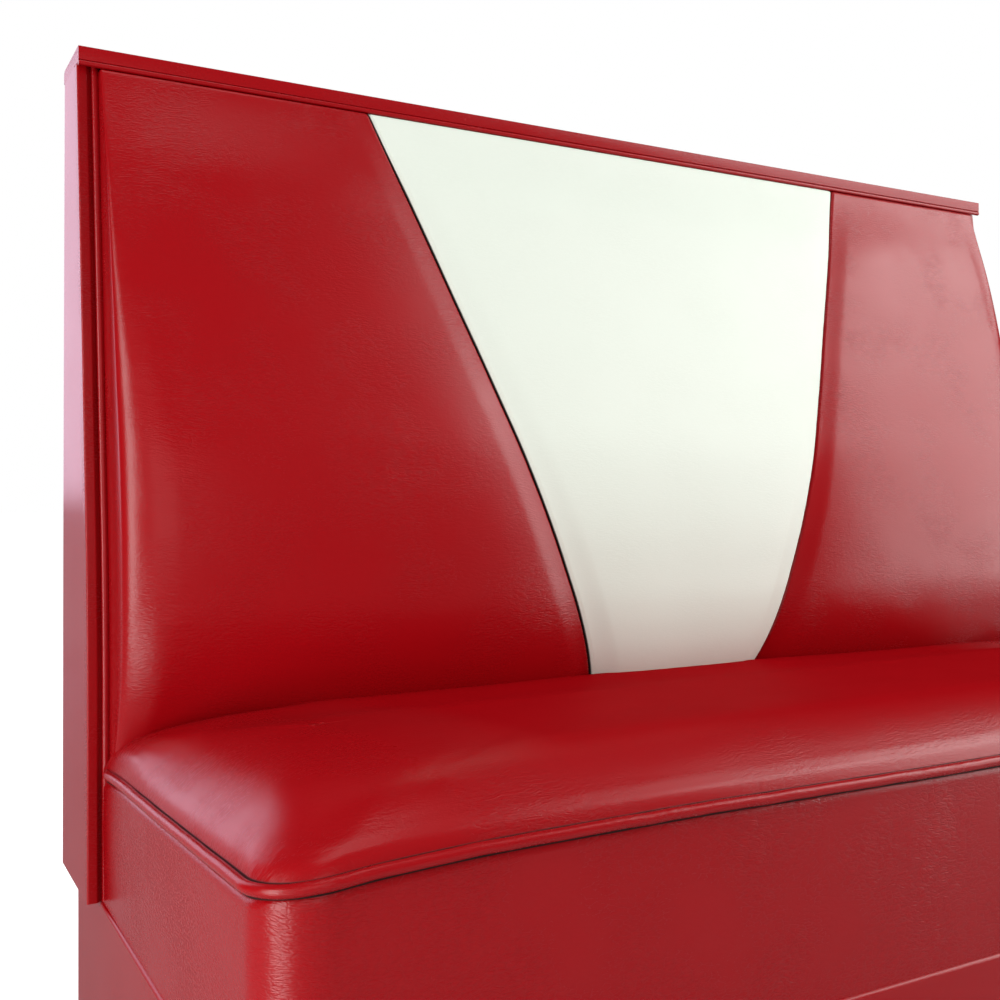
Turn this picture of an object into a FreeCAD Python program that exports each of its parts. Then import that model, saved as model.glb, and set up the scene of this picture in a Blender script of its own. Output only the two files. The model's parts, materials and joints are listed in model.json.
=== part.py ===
"""A restaurant booth with a V back: an upholstered bench seat for two.

Millimetres, +Z up. The origin is on the floor, in the middle of the booth's width and depth. +X runs to the
right of a person who faces the booth, and +Y runs from the seat's front to the back's rear.
"""
import FreeCAD, Part
import math
import os
import Sketcher
from FreeCAD import Vector

doc = FreeCAD.newDocument("booth")
sheet = doc.addObject("Spreadsheet::Sheet", "sizes")

# The driving dimensions, one cell each
SIZES = {
    # the whole booth
    "overall_width": 1219,
    "overall_depth": 610,
    "overall_height": 1067,
    # the back
    "back_depth": 144,
    "knee_height": 268,
    "knee_radius": 1450,
    "lean_run": 53,
    "rear_lean_run": 13,
    "rear_bulge": 1.5,
    "rear_corner": 12,
    "end_board": 18,
    "end_cover": 2.5,
    "back_rail": 22,
    "middle_rail_height": 640,
    "outside_board": 6,
    # the strip along each end of the back
    "strip_width": 20.4,
    "strip_depth": 12,
    "strip_edge": 2,
    "strip_flat": 8,
    "strip_groove": 2.6,
    "strip_bead": 5.6,
    # the cap
    "cap_height": 12.6,
    "cap_overhang": 9.6,
    "cap_rear_inset": 4.3,
    "cap_wrap": 1.3,
    "cap_edge": 1.2,
    "cap_rear_edge": 5,
    "cap_bead": 6.4,
    "cap_flange": 1.4,
    "cap_flange_depth": 16,
    # the back pads
    "pad_gap": 1.1,
    "seam_gap": 0.6,
    "pad_cover": 1.6,
    "pad_board": 12,
    "pad_recess": 22.5,
    "pad_lean_run": 49,
    "pad_bottom": 412,
    "pad_top_roll": 9,
    "pad_roll": 34,
    "pad_thickness": 105,
    "vee_top_width": 650,
    "vee_bottom_width": 184,
    # the seat
    "seat_side_inset": 14.5,
    "seat_corner": 38,
    "seat_cover": 2,
    "welt_size": 8,
    "welt_out": 2,
    "welt_rear_height": 119,
    "welt_rise": 30,
    "crown": 54,
    "shoulder": 120,
    # the frame inside the seat
    "seat_rail": 22,
    "seat_rail_height": 50,
    "seat_block": 44,
    "spring_wire": 3.6,
    "spring_loop": 16,
    "spring_width": 46,
    "clip_width": 16,
    "clip_height": 6,
    "clip_length": 14,
    "insulator": 3,
    # the base
    "base_top": 297,
    "base_proud": 3,
    "base_rear_inset": 27,
    "base_bottom": 110,
    "base_wrap": 2,
    "base_edge": 3,
    "wrap_turn": 20,
    "base_board": 18,
    "base_post": 60,
    # the toe kick and its glides
    "kick_bottom": 12,
    "kick_board": 18,
    "kick_front_inset": 60,
    "kick_side_inset": 25,
    "kick_rear_inset": 10,
    "glide_block": 56,
    "glide_block_height": 45,
    "glide_stem": 8,
    "glide_stem_length": 54,
    "glide_foot": 38,
    "glide_foot_rim": 6,
    "glide_boss": 18,
    "glide_socket": 7,
    "glide_thread_room": 0.1,
    "nut_flange": 22,
    "nut_flange_thickness": 1.5,
    "nut_barrel": 11,
    "nut_length": 13,
    # fasteners and brackets
    "bolt": 8,
    "bolt_head": 16,
    "bolt_head_height": 5,
    "bolt_depth": 60,
    "bolt_bite": 38,
    "bracket_leg": 42,
    "bracket_width": 30,
    "bracket_steel": 3,
    "screw": 5,
    "screw_head": 9,
    "screw_head_height": 2,
    "screw_bite": 11,
    # clearances
    "clearance": 0.3,
    "overrun": 5,
}
for row, (name, value) in enumerate(SIZES.items(), start=1):
    sheet.set(f"A{row}", name)
    sheet.set(f"B{row}", str(value))
    sheet.setAlias(f"B{row}", name)
doc.recompute()


class Term:
    """A size or a sum of sizes, held as the formula that binds a property and as its value."""

    def __init__(self, formula, value):
        self.formula = formula
        self.value = value

    def __float__(self):
        return self.value

    def __add__(self, other):
        other = term(other)
        return Term(f"({self.formula} + {other.formula})", self.value + other.value)

    def __sub__(self, other):
        other = term(other)
        return Term(f"({self.formula} - {other.formula})", self.value - other.value)

    def __mul__(self, other):
        other = term(other)
        return Term(f"({self.formula} * {other.formula})", self.value * other.value)

    def __truediv__(self, other):
        other = term(other)
        return Term(f"({self.formula} / {other.formula})", self.value / other.value)

    def __neg__(self):
        return Term(f"(0 - {self.formula})", -self.value)

    __radd__ = __add__
    __rmul__ = __mul__

    def __rsub__(self, other):
        return term(other) - self


def term(number):
    """A plain number as a term; a term stays itself."""
    return number if isinstance(number, Term) else Term(str(number), float(number))


def size(name):
    """The term for one cell of the sheet."""
    return Term(f"sizes.{name}", float(sheet.get(name)))


ZERO = term(0)


# Places that several pieces share
half_width = size("overall_width") / 2
front_end = -size("overall_depth") / 2
rear_end = size("overall_depth") / 2
base_top = size("base_top")
top = size("overall_height")

welt_radius = size("welt_size") / 2
seat_front = front_end + size("welt_out") + welt_radius
strip_front = rear_end - size("back_depth")
seat_rear = strip_front - size("clearance")
seat_half = half_width - size("seat_side_inset")
cap_bottom = top - size("cap_height")
pad_top = cap_bottom - size("cap_bead") - size("clearance")
strip_top = pad_top
knee = base_top + size("knee_height")
lean = size("lean_run") / (strip_top - knee)
rear_lean = size("rear_lean_run") / (top - base_top)
cap_front = strip_front + size("lean_run") - size("cap_overhang")
pad_half = half_width - size("strip_width") - size("pad_gap")
end_inner = half_width - size("end_cover") - size("end_board")

base_half = seat_half + size("base_proud")
base_front = seat_front - size("base_proud")
base_rear = rear_end - size("base_rear_inset")
panel_half = base_half - size("base_wrap")
panel_front = base_front + size("base_wrap")
panel_top = base_top - size("base_wrap")
floor_top = size("base_bottom") + size("base_board")


def leaning_front(height):
    """Where the strips' front is at a height above the knee, from which it leans to the rear."""
    return strip_front + lean * (height - knee)


def rear_of_back(height):
    """Where the flat behind the outside cover is at a height, without the cover's bulge."""
    return rear_end - size("end_cover") - rear_lean * (height - base_top)


def pad_rear(height):
    """The leaning plane that the pads and their boards share."""
    slope = size("pad_lean_run") / (pad_top - size("pad_bottom"))
    return strip_front + size("pad_recess") + slope * (height - size("pad_bottom"))


def vee_half(height):
    """Half the width of the centre pad at a height: the V is straight-sided."""
    narrow = size("vee_bottom_width") / 2
    widening = (size("vee_top_width") / 2 - narrow) / (pad_top - size("pad_bottom"))
    return narrow + widening * (height - size("pad_bottom"))


# Helpers that make and bind objects of the document
pieces = []


def keep(piece, label):
    """Name a finished sub-part and put it on the list of those that are written out."""
    piece.Label = label
    pieces.append(piece)
    return piece


def bind(item, prop, formula):
    """Bind a property to the formula of a term."""
    item.setExpression(prop, term(formula).formula)


def place(item, x=ZERO, y=ZERO, z=ZERO):
    """Bind the place of an object."""
    for axis, value in (("x", x), ("y", y), ("z", z)):
        bind(item, f"Placement.Base.{axis}", value)
    return item


def block(name, low, high):
    """A box from its low corner to its high corner."""
    box = doc.addObject("Part::Box", name)
    for prop, first, last in zip(("Length", "Width", "Height"), low, high):
        bind(box, prop, last - first)
    return place(box, *low)


def rod(name, radius, length, x, y, z):
    """An upright cylinder on the point x, y, z."""
    cylinder = doc.addObject("Part::Cylinder", name)
    bind(cylinder, "Radius", radius)
    bind(cylinder, "Height", length)
    return place(cylinder, x, y, z)


def level_rod(name, radius, length, x, y, z):
    """A cylinder that starts on the point x, y, z and runs along +Y."""
    cylinder = rod(name, radius, length, x, y, z)
    cylinder.Placement.Rotation = FreeCAD.Rotation(Vector(1, 0, 0), -90)
    return cylinder


def joined(name, items):
    """Several objects that are one solid."""
    fuse = doc.addObject("Part::MultiFuse", name)
    fuse.Shapes = items
    return fuse


def grouped(name, items):
    """Several separate solids in one sub-part."""
    group = doc.addObject("Part::Compound", name)
    group.Links = items
    return group


def less(name, base, tool):
    """One object with another taken out of it."""
    cut = doc.addObject("Part::Cut", name)
    cut.Base = base
    cut.Tool = tool
    return cut


def body_on(label, role):
    """A body and a sketch on one of its origin planes."""
    body = doc.addObject("PartDesign::Body", label)
    sketch = body.newObject("Sketcher::SketchObject", f"{label}_sketch")
    plane = next(f for f in body.Origin.OriginFeatures if f.Role == role)
    sketch.AttachmentSupport = [(plane, "")]
    sketch.MapMode = "FlatFace"
    return body, sketch


def pin(sketch, edge, x, y):
    """Hold the start of a sketch line at two formulas from the sketch's origin."""
    for kind, axis, value in (("DistanceX", -2, x), ("DistanceY", -1, y)):
        if value is ZERO:
            sketch.addConstraint(Sketcher.Constraint("PointOnObject", edge, 1, axis))
            continue
        index = sketch.addConstraint(Sketcher.Constraint(kind, -1, 1, edge, 1, float(value)))
        sketch.setExpression(f"Constraints[{index}]", value.formula)


def outline(sketch, points):
    """A closed outline of straight lines whose corners are held at formulas."""
    corners = [Vector(float(x), float(y), 0) for x, y in points]
    first = sketch.GeometryCount
    count = len(points)
    for start, end in zip(corners, corners[1:] + corners[:1]):
        sketch.addGeometry(Part.LineSegment(start, end), False)
    for index in range(count):
        following = first + (index + 1) % count
        sketch.addConstraint(Sketcher.Constraint("Coincident", first + index, 2, following, 1))
    for index, (x, y) in enumerate(points):
        pin(sketch, first + index, x, y)


def padded(body, sketch, length, midplane=False):
    """Pad a body's sketch by a length."""
    pad = body.newObject("PartDesign::Pad", f"{body.Name}_pad")
    pad.Profile = sketch
    pad.SideType = "Symmetric" if midplane else "One side"
    bind(pad, "Length", length)
    body.Tip = pad
    return body


def rounded(body, name, radius, wanted):
    """Fillet the edges of a body's tip whose middles are wanted."""
    doc.recompute()
    square = body.Tip
    fillet = body.newObject("PartDesign::Fillet", f"{body.Name}_{name}")
    fillet.Base = (square, [
        f"Edge{index}" for index, edge in enumerate(square.Shape.Edges, start=1)
        if wanted(edge.CenterOfMass)
    ])
    bind(fillet, "Radius", radius)
    body.Tip = fillet
    return body


def slab_along_x(label, points, low, high):
    """A board drawn in its side view (y, z) and padded along X from low to high."""
    body, sketch = body_on(label, "YZ_Plane")
    outline(sketch, points)
    padded(body, sketch, high - low)
    return place(body, x=low)


def turned(label, points, x, y, z):
    """A round piece: half its section (radius, height) turned about an upright axis."""
    body, sketch = body_on(label, "XZ_Plane")
    outline(sketch, points)
    turn = body.newObject("PartDesign::Revolution", f"{label}_turn")
    turn.Profile = sketch
    turn.ReferenceAxis = (sketch, ["V_Axis"])
    body.Tip = turn
    return place(body, x, y, z)


def soft(label, shape):
    """A piece whose surface is lofted or swept from the sheet's sizes."""
    feature = doc.addObject("Part::Feature", label)
    feature.Shape = shape
    return keep(feature, label)


def face_of(points):
    """A flat face with straight sides."""
    corners = [Vector(*(float(value) for value in point)) for point in points]
    return Part.Face(Part.makePolygon(corners + corners[:1]))


def arc(first, middle, last):
    """An arc through three points."""
    return Part.Arc(first, middle, last).toShape()


def line(first, last):
    """A straight edge."""
    return Part.makeLine(first, last)


# The base: floor board, panels, posts, and the vinyl that wraps them
def plan_wire(inset, height_at, corner_growth=0.0):
    """The seat's outline seen from above, drawn in by inset, on a surface that height_at gives.

    The rear corners are square and the front ones round. It is drawn from the rear left corner."""
    half = float(seat_half) - inset
    front = float(seat_front) + inset
    rear = float(seat_rear)
    radius = float(size("seat_corner")) + inset * corner_growth
    diagonal = radius * (1 - math.sqrt(0.5))

    def point(x, y):
        return Vector(x, y, height_at(y))

    rear_left = point(-half, rear)
    left = point(-half, front + radius)
    left_corner = point(-half + diagonal, front + diagonal)
    front_left = point(-half + radius, front)
    front_right = point(half - radius, front)
    right_corner = point(half - diagonal, front + diagonal)
    right = point(half, front + radius)
    rear_right = point(half, rear)
    return Part.Wire([
        line(rear_left, left),
        arc(left, left_corner, front_left),
        line(front_left, front_right),
        arc(front_right, right_corner, right),
        line(right, rear_right),
        line(rear_right, rear_left),
    ])


def base_prism(inset, low, high, past_rear):
    """An upright solid on the base's outline: square at the rear, round at the front corners."""
    half = float(base_half) - inset
    front = float(base_front) + inset
    depth = float(base_rear) + past_rear - front
    solid = Part.makeBox(2 * half, depth, high - low, Vector(-half, front, low))
    radius = float(size("seat_corner")) + float(size("base_proud")) - inset
    corners = [
        edge for edge in solid.Edges
        if abs(edge.BoundBox.ZLength - (high - low)) < float(size("clearance"))
        and edge.BoundBox.YMax < front + float(size("clearance"))
    ]
    return solid.makeFillet(radius, corners)


def base_wrap():
    """The vinyl round the base: a wall on three sides, turned over the top edge."""
    wall = float(size("base_wrap"))
    beyond = float(size("overrun"))
    low = float(size("base_bottom"))
    high = float(base_top)
    outer = base_prism(0, low, high, 0)
    rim = [
        edge for edge in outer.Edges
        if edge.BoundBox.ZMin > high - wall and edge.BoundBox.YMin < float(base_rear) - wall
    ]
    outer = outer.makeFillet(float(size("base_edge")), rim)
    room = base_prism(wall, low - beyond, high - wall, beyond)
    opening = base_prism(wall + float(size("wrap_turn")), low, high + beyond, beyond)
    return outer.cut([room, opening])


base_floor = block(
    "base_floor_board",
    (-panel_half, panel_front, size("base_bottom")),
    (panel_half, base_rear, floor_top),
)
floor_rounding = doc.addObject("Part::Fillet", "base_floor")
floor_rounding.Base = base_floor
doc.recompute()
floor_radius = size("seat_corner") + size("base_proud") - size("base_wrap")
floor_rounding.Edges = [
    (index, float(floor_radius), float(floor_radius))
    for index, edge in enumerate(base_floor.Shape.Edges, start=1)
    if edge.BoundBox.XLength + edge.BoundBox.YLength < float(size("clearance"))
    and edge.BoundBox.YMax < float(panel_front + size("clearance"))
]
keep(floor_rounding, "base_floor")

post = size("base_post")
for side, name in ((-1, "left"), (1, "right")):
    outer = side * panel_half
    inner = side * (panel_half - size("base_board"))
    low, high = (outer, inner) if side < 0 else (inner, outer)
    keep(block(
        f"base_end_{name}",
        (low, panel_front + post, floor_top),
        (high, base_rear - size("base_board"), panel_top),
    ), f"base_end_{name}")
keep(block(
    "base_front_panel",
    (-panel_half + post, panel_front, floor_top),
    (panel_half - post, panel_front + size("base_board"), panel_top),
), "base_front_panel")
keep(block(
    "base_rear_panel",
    (-panel_half, base_rear - size("base_board"), floor_top),
    (panel_half, base_rear, panel_top),
), "base_rear_panel")
keep(block(
    "base_divider",
    (-size("base_board") / 2, panel_front + size("base_board"), floor_top),
    (size("base_board") / 2, base_rear - size("base_board"), panel_top),
), "base_divider")

# A bolt in each post goes up into the seat's corner block above it
seat_block = size("seat_block")
rail_half = seat_half - size("seat_cover") - size("clearance")
rail_front = seat_front + size("seat_cover") + size("clearance")
rail_rear = seat_rear - size("seat_cover")
bolt_x = rail_half - size("seat_rail") - seat_block / 2
bolt_places = [
    (side * bolt_x, y)
    for side in (-1, 1)
    for y in (
        rail_front + size("seat_rail") + seat_block / 2,
        rail_rear - size("seat_rail") - seat_block / 2,
    )
]
bolt_low = panel_top - size("bolt_depth")
posts = []
seat_bolts = []
for number, (x, y) in enumerate(bolt_places, start=1):
    at_left = float(x) < 0
    at_front = number % 2 == 1
    low_x = -panel_half if at_left else panel_half - post
    low_y = panel_front if at_front else y - post / 2
    if not at_front:
        low_x = -panel_half + size("base_board") if at_left else panel_half - size("base_board") - post
    body, sketch = body_on(f"post_{number}", "XY_Plane")
    outline(sketch, [
        (low_x, low_y), (low_x + post, low_y), (low_x + post, low_y + post), (low_x, low_y + post),
    ])
    padded(body, sketch, panel_top - floor_top)
    if at_front:
        outer_x = float(low_x if at_left else low_x + post)
        rounded(body, "round", floor_radius, lambda centre: (
            abs(centre.x - outer_x) < float(size("clearance"))
            and abs(centre.y - float(low_y)) < float(size("clearance"))
        ))
    place(body, z=floor_top)
    shank_room = size("bolt") / 2 + size("clearance")
    head_room = size("bolt_head") / 2 + size("clearance")
    hole = joined(f"post_hole_{number}", [
        rod(f"post_bore_{number}", shank_room, panel_top - floor_top, x, y, floor_top),
        rod(f"post_recess_{number}", head_room, bolt_low - floor_top, x, y, floor_top),
    ])
    posts.append(less(f"post_drilled_{number}", body, hole))
    seat_bolts.append(joined(f"seat_bolt_{number}", [
        rod(f"bolt_shank_{number}", size("bolt") / 2, size("bolt_depth") + size("bolt_bite"), x, y, bolt_low),
        rod(f"bolt_head_{number}", size("bolt_head") / 2, size("bolt_head_height"),
            x, y, bolt_low - size("bolt_head_height")),
    ]))
keep(grouped("base_posts", posts), "base_posts")
keep(grouped("seat_bolts", seat_bolts), "seat_bolts")
soft("base_wrap", base_wrap())

# The toe kick: four boards below the base, set in from its faces
kick_half = base_half - size("kick_side_inset")
kick_front = base_front + size("kick_front_inset")
kick_rear = base_rear - size("kick_rear_inset")
kick_low = size("kick_bottom")
kick_high = size("base_bottom")
kick_board = size("kick_board")
keep(block(
    "kick_front", (-kick_half, kick_front, kick_low), (kick_half, kick_front + kick_board, kick_high),
), "kick_front")
keep(block(
    "kick_rear", (-kick_half, kick_rear - kick_board, kick_low), (kick_half, kick_rear, kick_high),
), "kick_rear")
keep(block(
    "kick_left",
    (-kick_half, kick_front + kick_board, kick_low),
    (-kick_half + kick_board, kick_rear - kick_board, kick_high),
), "kick_left")
keep(block(
    "kick_right",
    (kick_half - kick_board, kick_front + kick_board, kick_low),
    (kick_half, kick_rear - kick_board, kick_high),
), "kick_right")

# Four levelling glides: a block in each corner of the kick, a tee nut, a stem and a foot
glide_block = size("glide_block")
stem_radius = size("glide_stem") / 2
nut_bore = stem_radius + size("glide_thread_room") / 2
nut_barrel = size("nut_barrel") / 2
nut_flange = size("nut_flange") / 2
foot_top = kick_low - size("clearance")
glide_places = {
    "front_left": (-1, kick_front + kick_board + glide_block / 2),
    "front_right": (1, kick_front + kick_board + glide_block / 2),
    "rear_left": (-1, kick_rear - kick_board - glide_block / 2),
    "rear_right": (1, kick_rear - kick_board - glide_block / 2),
}
glide_blocks = []
tee_nuts = []
for name, (side, y) in glide_places.items():
    x = side * (kick_half - kick_board - glide_block / 2)
    wood = block(
        f"glide_wood_{name}",
        (x - glide_block / 2, y - glide_block / 2, kick_low),
        (x + glide_block / 2, y + glide_block / 2, kick_low + size("glide_block_height")),
    )
    nut_room = nut_barrel + size("glide_thread_room")
    flange_room = nut_flange + size("clearance")
    bore = joined(f"glide_bore_{name}", [
        rod(f"nut_room_{name}", nut_room, size("glide_block_height"), x, y, kick_low),
        rod(f"flange_room_{name}", flange_room, size("nut_flange_thickness"), x, y, kick_low),
    ])
    glide_blocks.append(less(f"glide_drilled_{name}", wood, bore))
    tee_nuts.append(turned(f"tee_nut_{name}", [
        (nut_bore, ZERO),
        (nut_flange, ZERO),
        (nut_flange, size("nut_flange_thickness")),
        (nut_barrel, size("nut_flange_thickness")),
        (nut_barrel, size("nut_length")),
        (nut_bore, size("nut_length")),
    ], x, y, kick_low))
    keep(turned(f"glide_stem_{name}", [
        (ZERO, ZERO),
        (stem_radius, ZERO),
        (stem_radius, size("glide_stem_length") - stem_radius / 4),
        (stem_radius * 3 / 4, size("glide_stem_length")),
        (ZERO, size("glide_stem_length")),
    ], x, y, foot_top - size("glide_socket")), f"glide_stem_{name}")
    foot_radius = size("glide_foot") / 2
    rim = size("glide_foot_rim")
    keep(turned(f"glide_foot_{name}", [
        (ZERO, ZERO),
        (foot_radius - rim / 4, ZERO),
        (foot_radius, rim / 4),
        (foot_radius, rim),
        (size("glide_boss") / 2, foot_top),
        (nut_bore, foot_top),
        (nut_bore, foot_top - size("glide_socket")),
        (ZERO, foot_top - size("glide_socket")),
    ], x, y, ZERO), f"glide_foot_{name}")
keep(grouped("glide_blocks", glide_blocks), "glide_blocks")
keep(grouped("tee_nuts", tee_nuts), "tee_nuts")

# The seat's frame stands on the base
rail_top = base_top + size("seat_rail_height")
keep(block(
    "seat_rail_front",
    (-rail_half + size("seat_corner"), rail_front, base_top),
    (rail_half - size("seat_corner"), rail_front + size("seat_rail"), rail_top),
), "seat_rail_front")
keep(block(
    "seat_rail_rear", (-rail_half, rail_rear - size("seat_rail"), base_top), (rail_half, rail_rear, rail_top),
), "seat_rail_rear")
for side, name in ((-1, "left"), (1, "right")):
    low_x = -rail_half if side < 0 else rail_half - size("seat_rail")
    keep(block(
        f"seat_rail_{name}",
        (low_x, rail_front + size("seat_corner"), base_top),
        (low_x + size("seat_rail"), rail_rear - size("seat_rail"), rail_top),
    ), f"seat_rail_{name}")
corner_blocks = []
for number, (x, y) in enumerate(bolt_places, start=1):
    wood = block(
        f"seat_block_wood_{number}",
        (x - seat_block / 2, y - seat_block / 2, base_top),
        (x + seat_block / 2, y + seat_block / 2, rail_top),
    )
    hole = rod(f"seat_block_hole_{number}", size("bolt") / 2 + size("clearance"), size("seat_rail_height"),
               x, y, base_top)
    corner_blocks.append(less(f"seat_block_{number}", wood, hole))
keep(grouped("seat_corner_blocks", corner_blocks), "seat_corner_blocks")

# Sinuous springs run from the front rail to the rear rail, held by clips
wire_radius = size("spring_wire") / 2
spring_z = rail_top + size("clip_height") / 2
spring_start = rail_front + size("seat_rail") / 2
spring_end = rail_rear - size("seat_rail") / 2
SPRING_COUNT = 7
spring_pitch = 2 * (rail_half - size("seat_rail") - seat_block) / (SPRING_COUNT - 1)


def sinuous_spring(x):
    """One spring: a wire in a flat zigzag of straight runs joined by half circles."""
    start = float(spring_start)
    end = float(spring_end)
    height = float(spring_z)
    reach = float(size("spring_width")) / 2
    runs = 2 * round((end - start) / (2 * float(size("spring_loop"))))
    step = (end - start) / runs
    bend = step / 2
    edges = []
    side = 1
    middle = Vector(x, start, height)
    for run in range(runs + 1):
        y = start + run * step
        near = middle if run == 0 else Vector(x - side * (reach - bend), y, height)
        last = run == runs
        far = Vector(x, y, height) if last else Vector(x + side * (reach - bend), y, height)
        edges.append(line(near, far))
        if not last:
            beyond = Vector(x + side * reach, y + bend, height)
            edges.append(arc(far, beyond, Vector(far.x, y + step, height)))
            side = -side
    path = Part.Wire(edges)
    ring = Part.Wire(Part.makeCircle(float(wire_radius), middle, Vector(1, 0, 0)))
    return path.makePipeShell([ring], True, False)


spring_places = [
    float(spring_pitch) * (index - (SPRING_COUNT - 1) / 2) for index in range(SPRING_COUNT)
]
soft("seat_springs", Part.makeCompound([sinuous_spring(x) for x in spring_places]))


def spring_clip(x, y):
    """A steel clip nailed to a rail, with a groove along X for the spring's last run."""
    width = float(size("clip_width"))
    length = float(size("clip_length"))
    height = float(size("clip_height"))
    low = float(rail_top)
    body = Part.makeBox(width, length, height, Vector(x - width / 2, y - length / 2, low))
    room = float(wire_radius + size("glide_thread_room"))
    start = Vector(x - width, y, float(spring_z))
    return body.cut(Part.makeCylinder(room, 2 * width, start, Vector(1, 0, 0)))


soft("spring_clips", Part.makeCompound([
    spring_clip(x, float(y)) for x in spring_places for y in (spring_start, spring_end)
]))
sheet_low = rail_top + size("clip_height")
sheet_high = sheet_low + size("insulator")
keep(block(
    "spring_insulator",
    (-rail_half + size("seat_corner"), rail_front + size("clip_length") / 4, sheet_low),
    (rail_half - size("seat_corner"), rail_rear, sheet_high),
), "spring_insulator")


# The seat cushion: slab, crowned topper, boxing, welt and top panel
def welt_height(y):
    """The height of the welt's middle at a depth: the seat rises to the front."""
    pitch = float(size("welt_rise")) / float(strip_front - seat_front)
    return float(base_top + size("welt_rear_height")) + pitch * (float(strip_front) - y)


# How far a ring of the crown is drawn in, as a share of the shoulder, and its height, of the crown
CROWN_SHARES = [
    (0.015, 0.17),
    (0.06, 0.34),
    (0.17, 0.56),
    (0.38, 0.78),
    (0.68, 0.93),
    (1.1, 0.985),
    (1.75, 1.0),
]
CORNER_GROWTH_SHARE = 0.6


def crown_form(inset, base_height):
    """The pillow above the welt: a loft through rings that draw in as they rise."""
    rings = [(inset, base_height)]
    for inward, upward in CROWN_SHARES:
        rings.append((
            inset + inward * float(size("shoulder")),
            upward * float(size("crown")) - inset,
        ))
    wires = [
        plan_wire(drawn_in, lambda y, rise=rise: welt_height(y) + rise, CORNER_GROWTH_SHARE)
        for drawn_in, rise in rings
    ]
    return Part.makeLoft(wires, True, True)


def upright(wire_inset, low, high):
    """An upright solid on the seat's outline."""
    wire = plan_wire(wire_inset, lambda y: low)
    return Part.Face(wire).extrude(Vector(0, 0, high - low))


def above_welt(offset):
    """Everything above the welt's plane moved by an offset, as a tool that trims the seat's walls."""
    half = float(half_width)
    front = float(front_end) - float(size("overrun"))
    rear = float(rear_end)
    tall = float(top)
    profile = face_of([
        (-half, front, welt_height(front) + offset),
        (-half, rear, welt_height(rear) + offset),
        (-half, rear, tall),
        (-half, front, tall),
    ])
    return profile.extrude(Vector(2 * half, 0, 0))


# The back pads' side view, from the top down: height and thickness as shares of the largest
PAD_SHARES = [
    (1.0, 0.286),
    (0.715, 0.655),
    (0.50, 0.906),
    (0.34, 0.994),
    (0.236, 0.956),
    (0.125, 0.824),
    (0.0, 0.281),
]


def pad_section(x_at, fullness, inset=0.0, behind=0.0):
    """One upright slice of a pad, on the plane x_at: a flat rear, a rolled top and the lumbar curve."""
    low = float(size("pad_bottom")) + inset
    high = float(pad_top) - inset
    roll = float(size("pad_top_roll"))

    def point(height, out, back=0.0):
        rear = float(pad_rear(term(height)))
        return Vector(x_at(height), rear - out + back, height)

    span = high - roll - low
    front = []
    for height_share, out_share in PAD_SHARES:
        thickness = out_share * float(size("pad_thickness")) * fullness
        front.append(point(low + height_share * span, thickness - inset))
    corner = roll * (1 - math.sqrt(0.5))
    top_front = Vector(x_at(high), front[0].y + roll, high)
    shoulder = Vector(x_at(high - corner), front[0].y + corner, high - corner)
    rear_low = point(low, 0, behind)
    rear_high = point(high, 0, behind)
    return Part.Wire([
        line(rear_low, rear_high),
        line(rear_high, top_front),
        arc(top_front, shoulder, front[0]),
        arc(front[0], front[1], front[2]),
        arc(front[2], front[3], front[4]),
        arc(front[4], front[5], front[6]),
        line(front[6], rear_low),
    ])


# Across a pad: the distance from an edge as a share of the roll, and the fullness there
STRIP_EDGE_SHARES = [(0.0, 0.84), (0.12, 0.93), (0.42, 1.02), (1.0, 1.065)]
SEAM_EDGE_SHARES = [(0.0, 1.0), (0.10, 1.03), (0.42, 1.06), (1.0, 1.08)]
MIDDLE_SHARE = 1.09


def pad_form(left_at, right_at, left_shares, right_shares, inset=0.0, behind=0.0):
    """A pad lofted from edge to edge through slices that swell away from each edge."""
    roll = float(size("pad_roll"))
    sections = []
    for away, fullness in left_shares:
        distance = inset + away * roll
        sections.append(pad_section(lambda z, d=distance: left_at(z) + d, fullness, inset, behind))
    sections.append(pad_section(lambda z: (left_at(z) + right_at(z)) / 2, MIDDLE_SHARE, inset, behind))
    for away, fullness in reversed(right_shares):
        distance = inset + away * roll
        sections.append(pad_section(lambda z, d=distance: right_at(z) - d, fullness, inset, behind))
    return Part.makeLoft(sections, True, True)


def pad_envelope():
    """The room that the pads take over the seat's whole width, with the clearance round it."""
    half = float(half_width)
    section = pad_section(lambda z: -half, MIDDLE_SHARE, -float(size("clearance")))
    return Part.Face(section).extrude(Vector(2 * half, 0, 0))


envelope = pad_envelope()
seat_cover = float(size("seat_cover"))
seat_inset = seat_cover + float(size("clearance"))
beyond = float(size("overrun"))
slot = float(welt_radius + size("glide_thread_room"))
slab = upright(seat_inset, float(sheet_high), float(top)).cut(above_welt(0.0))
soft("seat_slab", slab.cut(envelope))
topper = crown_form(seat_inset, 0.0)
soft("seat_topper", topper.cut(envelope))
top_panel = crown_form(0.0, slot).cut(crown_form(seat_cover, -beyond))
soft("seat_top_panel", top_panel.cut(envelope))
boxing = upright(0.0, float(base_top), float(top))
boxing = boxing.cut([
    upright(seat_cover, float(base_top) - beyond, float(top) + beyond),
    above_welt(-slot),
])
soft("seat_boxing", boxing.cut(envelope))


def seat_welt():
    """The piping: a cord in vinyl, along both sides and round the front corners."""
    out = float(size("welt_out"))
    closed = plan_wire(-out, welt_height, 0.0)
    path = Part.Wire(closed.OrderedEdges[:5])
    start = path.OrderedVertexes[0].Point
    direction = path.OrderedEdges[0].tangentAt(path.OrderedEdges[0].FirstParameter)
    ring = Part.Wire(Part.makeCircle(float(welt_radius), start, direction))
    return path.makePipeShell([ring], True, False, 2)


soft("seat_welt", seat_welt())

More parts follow.
